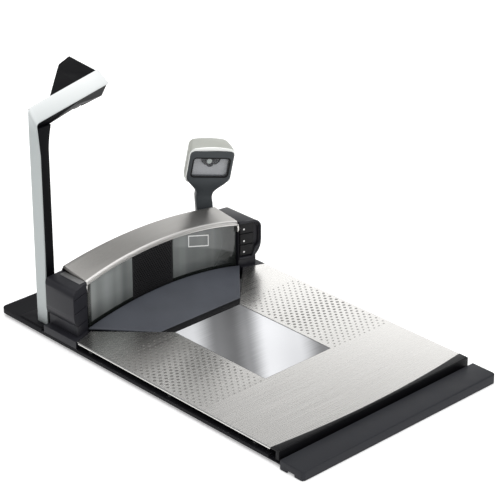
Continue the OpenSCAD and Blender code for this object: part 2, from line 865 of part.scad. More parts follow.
module mast_screws() {
    color("#777777") at_deck() for (y = [386, 394]) translate([-130, y, ledge_z]) {
        cylinder(h = plate_top - ledge_z, r = 2, $fn = 32);
    }
}

// ---- customer scanner ----

module swivel_base() {
    color("#202124") at_deck() translate([neck_pos[0], neck_pos[1], plate_top]) rotate_extrude($fn = 96)
        polygon([[0, 0], [11.5, 0], [11.5, 4], [9.5, 6], [4, 6], [4, 14], [0, 14]]);
}

module at_neck() {
    translate([neck_pos[0], neck_pos[1], 0]) rotate([0, 0, -head_turn]) children();
}

// Head frame: x to the viewer's right, -y out of the face, z up the face, origin at the neck's top
module at_head() {
    at_neck() translate([0, 0, head_z]) rotate([0, head_roll, 0]) rotate([head_nod, 0, 0]) children();
}

window_half = 22.4;
window_z = [18.5, 43.3];

module customer_body() {
    half_neck = neck_w / 2;
    half_head = head_w / 2;
    face = -9;
    sink = 0.4;
    color("#26272b") at_deck() difference() {
        union() {
            at_neck() difference() {
                span_box([-half_neck, half_neck], [-neck_d / 2, neck_d / 2], [plate_top + 6.3, neck_top]);
                translate([0, 0, plate_top + 6]) cylinder(h = 8.6, r = 4.05, $fn = 64);
            }
            hull() {
                at_neck() span_box([0.05 - half_neck, half_neck - 0.05],
                    [0.05 - neck_d / 2, neck_d / 2 - 0.05], [neck_top - 2, neck_top + 0.5]);
                at_head() span_box([sink - half_neck, half_neck - sink], [face + 2 + sink, head_back - sink],
                    [sink - 5, sink - 4]);
            }
            at_head() hull() {
                span_box([-half_neck, half_neck], [face + 2, head_back], [-5, -4]);
                span_box([-half_neck - 3, half_neck + 3], [face + 1, head_back], [3, 4]);
                span_box([-half_head + 3, half_head - 3], [face, head_back], [head_low - 1, head_low]);
            }
            at_head() difference() {
                span_box([-half_head, half_head], [face, head_back], [head_low - 0.1, head_high]);
                span_box([-half_head + 3, half_head - 3], [-6, head_back + 1], [head_low + 3, head_high - 3]);
            }
        }
        at_head() span_box([-window_half, window_half], [face - 3, 0], window_z);
    }
}

module customer_shell() {
    half_head = head_w / 2;
    seam = 0.1;
    color("#d9d9d2") at_deck() at_head() difference() {
        hull() {
            span_box([-half_head, half_head], [head_back, 6], [head_low - 7, head_high + 1]);
            span_box([-half_head + 2, half_head - 2], [head_back, 17], [head_low - 3, head_high + 5]);
            span_box([-half_head + 8, half_head - 8], [12, 22], [head_low + 1, head_high + 2]);
            span_box([-half_head + 1, half_head - 1], [-8.5, 6], [head_high + seam, head_high + 4]);
            span_box([-half_head + 10, half_head - 10], [-6, 12], [head_high + 4, head_high + 8]);
        }
        span_box([-half_head - 1, half_head + 1], [-12, head_back + seam / 2], [0, head_high + seam]);
        span_box([-half_head + 4, half_head - 4], [head_back, 15], [head_low + 1, head_high - 2]);
    }
}

module customer_window() {
    gap = 0.2;
    color("#2a2e33") at_deck() at_head()
        span_box([-window_half + gap, window_half - gap], [-7.6, -6.2],
            [window_z[0] + gap, window_z[1] - gap]);
}

module customer_imager() {
    lens_z = (window_z[0] + window_z[1]) / 2 + 3;
    color("#303235") at_deck() at_head() {
        span_box([-14, 14], [2, 11.5], [lens_z - 12, lens_z + 8]);
        translate([0, 2, lens_z]) rotate([90, 0, 0]) cylinder(h = 6, r = 4.5, $fn = 48);
    }
}

lower_housing();
counter_frame();
rear_plate();
front_bar();
level_screws();
frame_screws();
weigh_frame();
weigh_pads();
load_cell();
load_cell_pedestal();
load_cell_screws();
overload_stops();
optics_tray();
sealed_window();
lower_mirrors();
lower_imagers();
lower_lamp_boards();
main_board();
power_board();
connector_block();
bonnet_frame();
bonnet_cover();
bonnet_rear_cover();
left_window();
right_window();
speaker_grille();
speaker();
upper_imagers();
upper_mirrors();
upper_lamp_boards();
left_end_cap();
right_end_cap();
button_board();
cap_strip();
mast_column();
mast_trim();
arm_band();
reader_housing();
reader_window();
reader_imager();
reader_lamp_board();
mast_foot_cover();
mast_screws();
swivel_base();
platter_deck();
platter_backing();
platter_glass();
glass_gasket();
ramp_panel();
ramp_strip();
rail_carrier();
produce_rail();
upper_button();
middle_button();
lower_button();
customer_body();
customer_shell();
customer_window();
customer_imager();
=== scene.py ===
"""Looks of an in-counter barcode scanner and scale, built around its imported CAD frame.

Lengths in the shape functions are millimetres in the deck frame: x from the centreline, y from the platter's
front corners towards the bonnet, z up from the platter's top. deck() takes them to the frame, in metres.
"""
import json
import math

import bmesh
import bpy
from mathutils import Matrix, Vector


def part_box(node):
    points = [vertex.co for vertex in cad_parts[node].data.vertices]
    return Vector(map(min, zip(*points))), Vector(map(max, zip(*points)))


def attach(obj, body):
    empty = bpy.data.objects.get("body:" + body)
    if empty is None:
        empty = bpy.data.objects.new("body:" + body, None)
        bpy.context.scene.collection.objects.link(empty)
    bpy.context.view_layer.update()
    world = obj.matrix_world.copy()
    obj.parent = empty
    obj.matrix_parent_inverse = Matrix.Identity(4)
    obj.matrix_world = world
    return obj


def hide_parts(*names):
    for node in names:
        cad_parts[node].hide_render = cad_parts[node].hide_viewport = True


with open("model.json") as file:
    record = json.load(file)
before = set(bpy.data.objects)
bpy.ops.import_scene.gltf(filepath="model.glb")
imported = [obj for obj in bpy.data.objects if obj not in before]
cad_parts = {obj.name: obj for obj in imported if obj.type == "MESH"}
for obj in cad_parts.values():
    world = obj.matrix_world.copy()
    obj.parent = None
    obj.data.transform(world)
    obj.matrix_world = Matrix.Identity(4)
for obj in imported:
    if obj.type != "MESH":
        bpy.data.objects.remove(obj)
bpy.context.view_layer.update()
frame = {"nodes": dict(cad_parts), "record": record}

MM = 0.001
WELD = 1e-6
FLAT = math.radians(0.4)
CORNER_STEPS = 5
PLATTER_REAR = 325.2
DECK_ORIGIN = Vector((0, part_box("platter_deck")[1].y - PLATTER_REAR * MM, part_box("platter_deck")[1].z))
COUNTER_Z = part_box("counter_frame")[0].z
NODE_SLOT = {p["node"]: p["material_slot"] for p in frame["record"]["subparts"]}
NODE_BODY = {n: b for b, nodes in frame["record"]["behaviour"]["bodies"].items() for n in nodes}


def deck(x, y, z):
    """A point given in millimetres in the deck frame, in the frame's metres."""
    return DECK_ORIGIN + Vector((x, y, z)) * MM


# ---------------- materials

MATERIALS = {}


class Look:
    """A node material under construction. Noise and places are in the piece's own coordinates, in metres."""

    def __init__(self, name):
        """A new material, which MATERIALS holds under its name."""
        self.material = MATERIALS[name] = bpy.data.materials.new(name)
        self.material.use_nodes = True
        self.nodes = self.material.node_tree.nodes
        self.links = self.material.node_tree.links
        self.shader = self.nodes["Principled BSDF"]

    def set(self, socket_name, value):
        """Sets a shader socket to a number or colour, or links it to another node's output."""
        self.fill(self.shader.inputs[socket_name], value)

    def fill(self, socket, value):
        """Does the same for any node's socket."""
        if isinstance(value, bpy.types.NodeSocket):
            self.links.new(value, socket)
        else:
            socket.default_value = value

    def noise(self, scale, detail=3.0, stretch=(1, 1, 1)):
        """Noise with scale cells a metre, and stretch times that on each axis."""
        mapping = self.nodes.new("ShaderNodeMapping")
        mapping.inputs["Scale"].default_value = [scale * s for s in stretch]
        noise = self.nodes.new("ShaderNodeTexNoise")
        noise.inputs["Scale"].default_value = 1.0
        noise.inputs["Detail"].default_value = detail
        self.links.new(self.place(), mapping.inputs["Vector"])
        self.links.new(mapping.outputs["Vector"], noise.inputs["Vector"])
        return noise.outputs["Fac"]

    def place(self):
        """A point's place on the piece."""
        return self.nodes.new("ShaderNodeTexCoord").outputs["Object"]

    def axes(self):
        """The x, y and z of a point's place."""
        axes = self.nodes.new("ShaderNodeSeparateXYZ")
        self.links.new(self.place(), axes.inputs["Vector"])
        return axes.outputs

    def remap(self, value, low, high, source=(0.3, 0.7)):
        """Goes from low to high as value goes across source."""
        node = self.nodes.new("ShaderNodeMapRange")
        node.inputs["From Min"].default_value, node.inputs["From Max"].default_value = source
        node.inputs["To Min"].default_value = low
        node.inputs["To Max"].default_value = high
        self.links.new(value, node.inputs["Value"])
        return node.outputs["Result"]

    def shade(self, value, dark, light, source=(0.3, 0.7)):
        """Goes from dark to light as value goes across source."""
        node = self.nodes.new("ShaderNodeValToRGB")
        for element, position, colour in zip(node.color_ramp.elements, source, (dark, light)):
            element.position = position
            element.color = (*colour, 1)
        self.links.new(value, node.inputs["Fac"])
        return node.outputs["Color"]

    def math(self, operation, *values):
        """A Math node's result. Each value is a number or another node's output."""
        node = self.nodes.new("ShaderNodeMath")
        node.operation = operation
        for socket, value in zip(node.inputs, values):
            self.fill(socket, value)
        return node.outputs[0]

    def bump(self, height, strength, distance_mm):
        """Relief from height, without any change to the mesh."""
        node = self.nodes.new("ShaderNodeBump")
        node.inputs["Strength"].default_value = strength
        node.inputs["Distance"].default_value = distance_mm * MM
        self.links.new(height, node.inputs["Height"])
        self.set("Normal", node.outputs["Normal"])


def scaled(colour, factor):
    """A colour made darker or lighter."""
    return tuple(min(1.0, c * factor) for c in colour)


def around(colour, spread):
    """The colour's dark and light version, apart from it by that share."""
    return scaled(colour, 1 - spread), scaled(colour, 1 + spread)


def brushed_metal(name, colour, roughness, streak):
    """Sheet metal brushed along x: long fine streaks in colour, roughness and relief."""
    look = Look(name)
    look.set("Metallic", 1.0)
    look.set("Anisotropic", 0.6)
    grain = look.nodes.new("ShaderNodeTangent")
    grain.direction_type = "UV_MAP"
    grain.uv_map = "plan"
    look.set("Tangent", grain.outputs["Tangent"])
    fine = look.noise(1400, 4, (0.006, 1, 1))
    broad = look.noise(60, 2, (0.15, 1, 1))
    broad_share = 0.35
    streaks = look.math("MULTIPLY_ADD", broad, broad_share, look.remap(fine, 0.0, 1 - broad_share))
    look.set("Base Color", look.shade(streaks, *around(colour, streak), (0, 0.9)))
    look.set("Roughness", look.remap(fine, roughness * 0.85, roughness * 1.2))
    look.bump(fine, 0.12, 0.05)
    return look.material


def moulded_plastic(name, colour, roughness, grain=1500, relief=0.06, variation=0.12, specular=0.35):
    """Fine-grained moulded plastic or powder coat, with faint broad wear in its gloss."""
    look = Look(name)
    wear = look.noise(25, 4)
    look.set("Specular IOR Level", specular)
    look.set("Base Color", look.shade(wear, *around(colour, variation)))
    look.set("Roughness", look.remap(wear, roughness * 0.9, roughness * 1.12))
    look.bump(look.noise(grain, 2), relief, 0.05)
    return look.material


def cast_metal(name, colour, roughness, metallic=1.0, mottle=0.12):
    """Cast or painted metal with fine pits and a faint mottle."""
    look = Look(name)
    look.set("Metallic", metallic)
    pits = look.noise(900, 5)
    look.set("Base Color", look.shade(look.noise(40, 3), *around(colour, mottle)))
    look.set("Roughness", look.remap(pits, roughness * 0.8, roughness * 1.25))
    look.bump(pits, 0.1, 0.06)
    return look.material


def mast_metal_painted_shade(name, low, high):
    """Satin silver paint with painted light and shade: paler on the arm, which faces the light, than down the
    column.
    """
    look = Look(name)
    look.set("Metallic", 0.3)
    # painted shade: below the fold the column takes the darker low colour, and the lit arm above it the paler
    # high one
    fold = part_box("arm_band")[0].z
    look.set("Base Color", look.shade(look.axes()["Z"], low, high, (fold - 0.01, fold + 0.03)))
    pits = look.noise(900, 5)
    look.set("Roughness", look.remap(pits, 0.34, 0.50))
    look.bump(pits, 0.1, 0.06)
    return look.material


def tinted_glass(name, colour, alpha, roughness=0.06, specular=0.6):
    """A pane that shows what is behind it: partly clear, with a gloss and faint smears."""
    look = Look(name)
    smear = look.noise(30, 5, (1, 1, 0.4))
    look.set("Base Color", look.shade(smear, scaled(colour, 0.9), scaled(colour, 1.12)))
    look.set("Roughness", look.remap(smear, roughness * 0.6, roughness * 1.6))
    look.set("Alpha", alpha)
    look.set("Specular IOR Level", specular)
    return look.material


def pane_with_painted_reflections(name):
    """Smoked glass whose colour holds painted reflections as soft upright bands and painted shade towards its
    foot, at its right end and beside the grille; darker along its left border and black along the ramp's
    arch.
    """
    look = Look(name)
    x, _, z = look.axes()
    left_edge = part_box("left_window")[0].x
    # painted reflections: soft upright bands
    bands = look.remap(look.noise(55, 1, (1, 0.01, 0.03)), 0.62, 1.0)
    # painted shade: darker towards the pane's foot, at its right end and beside the grille
    foot_shade = look.remap(z, 0.45, 1.0, (0.125, 0.152))
    right_end_shade = look.remap(x, 1.0, 0.35, (0.078, 0.104))
    grille_shade = look.remap(x, 1.0, 0.70, (-0.072, -0.062))
    left_border = look.remap(x, 0.0, 1.0, (left_edge + 0.003, left_edge + 0.006))
    crown, side = ramp_rear_z(0), 100
    curve = (crown - ramp_rear_z(side)) / (side * side * MM)
    above_ramp = look.math("MULTIPLY_ADD", look.math("MULTIPLY", x, x), curve, z)
    foot = deck(0, 0, crown).z
    # black along the ramp's arch, where the pane meets the ramp
    seam = look.remap(above_ramp, 0.0, 1.0, (foot + 0.0015, foot + 0.003))
    # the painted reflections and shade, multiplied into one tone
    tone = bands
    for factor in (foot_shade, right_end_shade, grille_shade, left_border, seam):
        tone = look.math("MULTIPLY", tone, factor)
    look.set("Base Color", look.shade(tone, (0.012, 0.014, 0.013), (0.30, 0.32, 0.315), (0.1, 1.0)))
    look.set("Roughness", 0.1)
    look.set("Specular IOR Level", 0.5)
    look.set("Alpha", 0.84)
    return look.material


def mirror_metal(name, colour, roughness):
    """A mirror's coating with a faint haze."""
    look = Look(name)
    look.set("Metallic", 1.0)
    haze = look.noise(35, 4)
    look.set("Base Color", look.shade(haze, scaled(colour, 0.94), colour))
    look.set("Roughness", look.remap(haze, roughness * 0.6, roughness * 1.5))
    return look.material


def circuit_board(name):
    """Green solder mask over faint copper tracks."""
    look = Look(name)
    tracks = look.nodes.new("ShaderNodeTexBrick")
    tracks.inputs["Scale"].default_value = 220.0
    tracks.inputs["Mortar Size"].default_value = 0.03
    tracks.inputs["Color1"].default_value = (0.015, 0.13, 0.05, 1)
    tracks.inputs["Color2"].default_value = (0.02, 0.16, 0.06, 1)
    tracks.inputs["Mortar"].default_value = (0.07, 0.26, 0.10, 1)
    look.fill(tracks.inputs["Vector"], look.place())
    look.set("Base Color", tracks.outputs["Color"])
    look.set("Roughness", look.remap(look.noise(500, 3), 0.3, 0.5))
    look.bump(tracks.outputs["Fac"], 0.2, 0.03)
    return look.material


def platter_window_glass(name):
    """Hard glass over the scan mirrors, with slanted pale and dark bands painted into its colour as
    reflections.
    """
    look = Look(name)
    streaks = look.noise(500, 3, (0.012, 1, 1))
    # painted reflections: pale and dark bands slanting across the glass, placed along this slant
    slant = look.nodes.new("ShaderNodeVectorMath")
    slant.operation = "DOT_PRODUCT"
    slant.inputs[1].default_value = (-1.2, 1.0, 0)
    look.fill(slant.inputs[0], look.place())
    ripple, span = 0.012, (-0.138, 0.106)
    rippled = look.math("MULTIPLY_ADD", streaks, ripple, slant.outputs["Value"])
    # the light and dark tones of the painted reflections
    painted_reflection_ramp = look.nodes.new("ShaderNodeValToRGB")
    bands = painted_reflection_ramp.color_ramp
    bands.interpolation = "EASE"
    painted_reflection_stops = ((0.0, 0.14), (0.18, 0.62), (0.40, 0.74), (0.54, 0.24), (0.64, 0.13), (0.76, 0.18), (0.95, 0.72))
    for position, tone in painted_reflection_stops[1:-1]:
        bands.elements.new(position)
    for element, (position, tone) in zip(bands.elements, painted_reflection_stops):
        element.position = position
        element.color = (tone, tone * 1.01, tone * 1.04, 1)
    look.fill(painted_reflection_ramp.inputs["Fac"], look.remap(rippled, 0.0, 1.0, span))
    look.set("Base Color", painted_reflection_ramp.outputs["Color"])
    look.set("Metallic", 0.1)
    look.set("Specular IOR Level", 0.25)
    look.set("Roughness", look.remap(streaks, 0.30, 0.42))
    return look.material


def counter_white(name):
    """The counter's plain white, which gives a little light of its own."""
    look = Look(name)
    look.set("Base Color", look.shade(look.noise(3, 2), (0.93, 0.93, 0.93), (0.95, 0.95, 0.95)))
    look.set("Roughness", 0.9)
    look.set("Specular IOR Level", 0.1)
    look.set("Emission Color", (1, 1, 1, 1))
    look.set("Emission Strength", 0.28)
    return look.material


brushed_metal("brushed_deck", (0.68, 0.67, 0.65), 0.27, 0.06)
brushed_metal("brushed_cover", (0.38, 0.37, 0.355), 0.36, 0.10)
cast_metal("housing_metal", (0.56, 0.57, 0.58), 0.38)
moulded_plastic("frame_black", (0.007, 0.007, 0.009), 0.6, 1800, 0.08, specular=0.12)
moulded_plastic("bar_slate", (0.018, 0.019, 0.023), 0.55, 1600, 0.10, specular=0.2)
cast_metal("screw_steel", (0.50, 0.50, 0.50), 0.3)
cast_metal("cast_aluminium", (0.62, 0.63, 0.64), 0.42)
moulded_plastic("black_rubber", (0.014, 0.014, 0.014), 0.75, 900, 0.2)
moulded_plastic("inner_black", (0.012, 0.012, 0.014), 0.5, 1200, 0.08, specular=0.2)
tinted_glass("dark_glass", (0.012, 0.013, 0.016), 0.96, 0.05, 0.8)
platter_window_glass("platter_pane")
mirror_metal("mirror_coat", (0.86, 0.88, 0.88), 0.05)
circuit_board("circuit_board")
moulded_plastic("grille_black", (0.010, 0.010, 0.011), 0.55, 1500, 0.1, specular=0.2)
moulded_plastic("cap_black", (0.014, 0.014, 0.018), 0.42, 1700, 0.08, specular=0.25)
moulded_plastic("button_black", (0.006, 0.006, 0.007), 0.40, 1700, 0.06, specular=0.2)
brushed_metal("pale_strip", (0.30, 0.30, 0.30), 0.4, 0.2)
moulded_plastic("mast_black", (0.003, 0.003, 0.004), 0.40, 1700, 0.06, specular=0.08)
mast_metal_painted_shade("mast_silver", (0.40, 0.43, 0.43), (0.74, 0.76, 0.76))
moulded_plastic("ramp_slate", (0.056, 0.061, 0.074), 0.5, 2200, 0.12)
moulded_plastic("strip_black", (0.004, 0.004, 0.005), 0.45, 1500, 0.05, specular=0.15)
moulded_plastic("customer_black", (0.045, 0.051, 0.056), 0.45, 1700, 0.07)
cast_metal("customer_silver", (0.40, 0.41, 0.375), 0.5, 0.12, 0.04)
WHITE_MARK = moulded_plastic("white_mark", (0.75, 0.75, 0.74), 0.5, 1500, 0.05)
# the deck's steel, painted darker on the raised dots as their shade
DIMPLE_PAINTED_SHADE = brushed_metal("dimple_painted_shade", (0.22, 0.215, 0.205), 0.36, 0.10)
# a paler copy of the cover's steel for its rolled front: a painted highlight
COVER_LIP_HIGHLIGHT = brushed_metal("cover_lip_highlight", (0.60, 0.59, 0.575), 0.36, 0.08)
# pale metal on the black frame's rounded edges: a painted highlight
FRAME_EDGE_HIGHLIGHT = cast_metal("frame_edge_highlight", (0.75, 0.75, 0.75), 0.35, 0.8)
# One grey in lit, half-shaded and shaded copies: painted light and shade for the baffles' facets. The lit
# grey is also the lens's painted highlight.
PAINTED_LIT_GREY = moulded_plastic("painted_lit_grey", (0.50, 0.54, 0.52), 0.6, 800, 0.05, 0.04)
BAFFLE_PAINTED_HALF_SHADE = moulded_plastic("baffle_painted_half_shade", (0.27, 0.29, 0.28), 0.6, 800, 0.05, 0.04)
BAFFLE_PAINTED_SHADE = moulded_plastic("baffle_painted_shade", (0.10, 0.11, 0.105), 0.6, 800, 0.05, 0.06)
CUSTOMER_GLASS = tinted_glass("customer_glass", (0.30, 0.31, 0.33), 0.10)
# bright metal for the shell's front rim: a painted highlight
CUSTOMER_RIM_HIGHLIGHT = cast_metal("customer_rim_highlight", (0.78, 0.79, 0.77), 0.35, 0.4, 0.03)
CUSTOMER_INSIDE = moulded_plastic("customer_inside", (0.46, 0.47, 0.49), 0.5, 900, 0.05, 0.06)


# ---------------- mesh helpers


def add_object(name, data):
    """A new object in the scene for a mesh, a light or a camera."""
    made = bpy.data.objects.new(name, data)
    bpy.context.scene.collection.objects.link(made)
    return made


def mesh_object(bm, name):
    """A new object with bm's faces left the way round they are. bm is freed."""
    mesh = bpy.data.meshes.new(name)
    bm.to_mesh(mesh)
    bm.free()
    return add_object(name, mesh)


def plain_object(bm, name):
    """A new object from bm, joined up and with its faces turned outwards. bm is freed."""
    bmesh.ops.remove_doubles(bm, verts=bm.verts, dist=WELD)
    bmesh.ops.recalc_face_normals(bm, faces=bm.faces)
    return mesh_object(bm, name)


def finish_piece(bm, node=None, materials=None, name=None, body=None, slot=None, smooth_angle=35,
                 extra_nodes=()):
    """Turns bm into a smooth-shaded piece that rides on its node's body and stands for that node."""
    piece = plain_object(bm, name or node + "_finished")
    mesh = piece.data
    slot = slot or NODE_SLOT[node]
    for material in materials or [MATERIALS[slot]]:
        mesh.materials.append(material)
    shade_smooth(mesh, smooth_angle)
    flat_uv(mesh)
    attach(piece, body or NODE_BODY[node])
    if node:
        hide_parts(node, *extra_nodes)


def shade_smooth(mesh, angle):
    """Smooth shading that breaks at sharp edges and where the material changes."""
    mesh.shade_smooth()
    mesh.set_sharp_from_angle(angle=math.radians(angle))
    if len(mesh.materials) > 1:
        indices = {}
        for face in mesh.polygons:
            for key in face.edge_keys:
                indices.setdefault(key, set()).add(face.material_index)
        for edge in mesh.edges:
            if len(indices.get(edge.key, ())) > 1:
                edge.use_edge_sharp = True


def flat_uv(mesh):
    """A plan-view UV map, so that brushed metal has its grain along x everywhere."""
    layer = mesh.uv_layers.new(name="plan")
    for loop in mesh.loops:
        corner = mesh.vertices[loop.vertex_index].co
        layer.data[loop.index].uv = (corner.x * 2, (corner.y + corner.z) * 2)


def grid_faces(bm, rows, close_columns=False):
    """Quads between rows of vertices. close_columns joins each row's last vertex to its first."""
    for a, b in zip(rows, rows[1:]):
        for j in range(len(a) if close_columns else len(a) - 1):
            k = (j + 1) % len(a)
            bm.faces.new((a[j], a[k], b[k], b[j]))


def ring(bm, points):
    """Vertices at deck points."""
    return [bm.verts.new(deck(*p)) for p in points]


def paint_from(bm, first, material_index):
    """Gives every face from number first onwards one material."""
    bm.faces.ensure_lookup_table()
    for face in bm.faces[first:]:
        face.material_index = material_index


def loft(bm, sections, material_index=0):
    """A closed solid through sections, each a closed loop of the same number of deck points."""
    before = len(bm.faces)
    rows = [ring(bm, s) for s in sections]
    grid_faces(bm, rows, close_columns=True)
    bm.faces.new(rows[0])
    bm.faces.new(rows[-1])
    paint_from(bm, before, material_index)


def lofted(sections, name):
    """A plain object lofted through sections."""
    bm = bmesh.new()
    loft(bm, sections)
    return plain_object(bm, name)


def inset_loop(points, d):
    """A closed plan outline, given anticlockwise, moved inwards by d with mitred corners."""
    sharpest_mitre = 0.35
    result = []
    count = len(points)
    for i in range(count):
        before = Vector(points[i - 1])
        here = Vector(points[i])
        after = Vector(points[(i + 1) % count])
        first = (here - before).normalized()
        second = (after - here).normalized()
        n1 = Vector((-first.y, first.x))
        n2 = Vector((-second.y, second.x))
        middle = (n1 + n2).normalized()
        reach = d / max(sharpest_mitre, middle.dot(n1))
        result.append(tuple(here + middle * reach))
    return result


def rounded_plate_rings(outline, z_low, z_high, radius):
    """Rings of a plate with rounded top and bottom edges, from its lower rim to its upper one."""
    rings = []
    steps = 3
    for sign, level in ((-1, z_low), (1, z_high)):
        order = range(steps + 1) if sign > 0 else range(steps, -1, -1)
        for k in order:
            a = math.pi / 2 * k / steps
            inset = radius * (1 - math.cos(a))
            z = level - sign * radius * (1 - math.sin(a))
            rings.append([(x, y, z) for x, y in inset_loop(outline, inset)])
    return rings


def fill_plane(bm, loops):
    """One flat face area bounded by the first loop of vertices, with the others as holes."""
    edges = []
    for loop in loops:
        for i, vertex in enumerate(loop):
            other = loop[(i + 1) % len(loop)]
            edges.append(bm.edges.get((vertex, other)) or bm.edges.new((vertex, other)))
    bmesh.ops.triangle_fill(bm, use_beauty=False, use_dissolve=False, edges=edges)


def circle_points(cx, cy, rx, ry, count, turn=0.0):
    """A circle or ellipse, anticlockwise from the angle turn."""
    angles = [turn + 2 * math.pi * i / count for i in range(count)]
    return [(cx + rx * math.cos(a), cy + ry * math.sin(a)) for a in angles]


def blended(a, b, value, start=0.0, end=1.0):
    """Goes smoothly from a to b as value goes from start to end."""
    t = max(0.0, min(1.0, (value - start) / (end - start)))
    return a + (b - a) * t * t * (3 - 2 * t)


def rounded_rectangle(x0, x1, y0, y1, radius, steps=CORNER_STEPS):
    """An anticlockwise outline with rounded corners."""
    corners = ((x1 - radius, y0 + radius, -90), (x1 - radius, y1 - radius, 0),
               (x0 + radius, y1 - radius, 90), (x0 + radius, y0 + radius, 180))
    points = []
    for cx, cy, start in corners:
        for i in range(steps + 1):
            a = math.radians(start + 90 * i / steps)
            points.append((cx + radius * math.cos(a), cy + radius * math.sin(a)))
    return points


def split_sides(points):
    """A rounded rectangle's loop with its straight sides split into runs, shorter towards the corners."""
    runs = 8
    split = []
    for i, (x, y) in enumerate(points):
        next_x, next_y = points[(i + 1) % len(points)]
        count = runs if (i + 1) % (CORNER_STEPS + 1) == 0 else 1
        split += [(blended(x, next_x, k, 0, count), blended(y, next_y, k, 0, count)) for k in range(count)]
    return split


def sharp_edges(bm, angle):
    """The edges between two faces that meet at more than angle degrees."""
    return [e for e in bm.edges if len(e.link_faces) == 2 and e.calc_face_angle(0) > math.radians(angle)]


def soften(bm, width_mm, segments=3, angle=28, material_index=-1):
    """Rounds the edges of bm that are sharper than angle."""
    bmesh.ops.bevel(bm, geom=sharp_edges(bm, angle), offset=width_mm * MM, offset_type="OFFSET",
                    segments=segments, profile=0.5, affect="EDGES", clamp_overlap=True, loop_slide=True,
                    material=material_index)


def cad_mesh(node):
    """A CAD node's mesh as a bmesh with its flat faces whole."""
    bm = bmesh.new()
    bm.from_mesh(frame["nodes"][node].data)
    bmesh.ops.remove_doubles(bm, verts=bm.verts, dist=WELD)
    bmesh.ops.dissolve_limit(bm, angle_limit=FLAT, verts=bm.verts, edges=bm.edges)
    return bm


def softened_node(node, width_mm, segments=3, angle=28, edge_material=None):
    """A finished piece made from a CAD node by rounding its edges."""
    bm = cad_mesh(node)
    soften(bm, width_mm, segments, angle, material_index=1 if edge_material else -1)
    materials = edge_material and [MATERIALS[NODE_SLOT[node]], edge_material]
    finish_piece(bm, node, materials)


def boolean(piece, cutter, operation="DIFFERENCE"):
    """Cuts piece with cutter, both plain objects, and removes the cutter."""
    modifier = piece.modifiers.new("cut", "BOOLEAN")
    modifier.object = cutter
    modifier.operation = operation
    modifier.solver = "EXACT"
    apply_modifiers(piece)
    bpy.data.objects.remove(cutter)


def apply_modifiers(piece):
    """Makes the result of a plain object's modifiers its mesh."""
    bpy.context.view_layer.update()
    graph = bpy.context.evaluated_depsgraph_get()
    mesh = bpy.data.meshes.new_from_object(piece.evaluated_get(graph))
    piece.modifiers.clear()
    piece.data = mesh


def thickened(sheet, thickness_mm):
    """A sheet made solid on the side away from its faces' outer side, as a bmesh; the object is removed."""
    modifier = sheet.modifiers.new("sheet", "SOLIDIFY")
    modifier.thickness = thickness_mm * MM
    modifier.offset = -1
    apply_modifiers(sheet)
    return bmesh_of(sheet)


def bmesh_of(piece):
    """The mesh of a worked-on object as a bmesh; the object is removed."""
    bm = bmesh.new()
    bm.from_mesh(piece.data)
    bpy.data.objects.remove(piece)
    return bm


# ---------------- shared shapes of the object

# The platter's plan and its ramp, glass and strip, then its sheet and the bonnet above it.
HALF_W = 147.0
FRONT_BULGE = 9.0
SIDE_LENGTH = 315.5
RAMP_X, RAMP_Y, RAMP_BACK = 119.5, PLATTER_REAR, 330.0
RAMP_BACK_HALF = 118.5
GLASS_HALF, GLASS_FRONT, GLASS_REAR = 50.6, 108.4, 257.4
STRIP_REAR = 268.7
STRIP_HALF = GLASS_HALF + (STRIP_REAR - GLASS_REAR) * (RAMP_X - GLASS_HALF) / (RAMP_Y - GLASS_REAR)
SHEET = 1.5
BONNET_HALF = 117.7


def arch(x, half, end, middle):
    """Height at x of a shallow circular arch."""
    rise = middle - end
    radius = (half * half + rise * rise) / (2 * rise)
    return middle - radius + math.sqrt(radius * radius - x * x)


def front_edge(x):
    """The platter's front edge, as y at x."""
    return -arch(x, HALF_W, end=0, middle=FRONT_BULGE)


def cover_front_z(x):
    """The top of the bonnet cover's front edge."""
    return arch(x, BONNET_HALF, end=60.5, middle=76.7)


def cover_rear_z(x):
    """The top of the bonnet cover's rear edge."""
    return arch(x, BONNET_HALF, end=66.0, middle=77.5)


def ramp_rear_z(x):
    """The top of the ramp's rear edge, where it meets the panes."""
    return arch(x, RAMP_BACK_HALF, end=1.8, middle=16.6)


def spread_out(start, end, steps):
    """Equal steps from start to end, both included."""
    return [start + (end - start) * i / steps for i in range(steps + 1)]


# The panes' look follows the ramp's arch, so it comes after it.
pane_with_painted_reflections("pane_glass")


# ---------------- platter


def platter_outline():
    """The steel sheet's plan, with the notch for the glass and the ramp."""
    front = [(x, front_edge(x)) for x in spread_out(-HALF_W, HALF_W, 40)]
    return front + [(HALF_W, SIDE_LENGTH), (RAMP_X, RAMP_Y), (GLASS_HALF, GLASS_REAR),
                    (GLASS_HALF, GLASS_FRONT), (-GLASS_HALF, GLASS_FRONT), (-GLASS_HALF, GLASS_REAR),
                    (-RAMP_X, RAMP_Y), (-HALF_W, SIDE_LENGTH)]


DIMPLE_ROWS = 29
DIMPLE_PITCH_Y = 5.35
DIMPLE_PITCH_X = 8.0
DIMPLE_FIRST_Y = 107.7
DIMPLE_FIRST_X = 57.8
DIMPLE_COLUMNS = 11


def dimples():
    """Centre and size of each raised dot: two staggered fields whose dots shrink towards both ends."""
    middle = (DIMPLE_ROWS - 1) / 2
    for row in range(DIMPLE_ROWS):
        swell = 1 - abs(row - middle) / (middle + 1)
        rx = 1.15 + 1.05 * swell
        ry = 0.75 + 1.1 * swell
        shift = DIMPLE_PITCH_X / 2 if row % 2 else 0
        for column in range(DIMPLE_COLUMNS):
            x = DIMPLE_FIRST_X + shift + column * DIMPLE_PITCH_X
            for side in (-1, 1):
                yield side * x, DIMPLE_FIRST_Y + row * DIMPLE_PITCH_Y, rx, ry


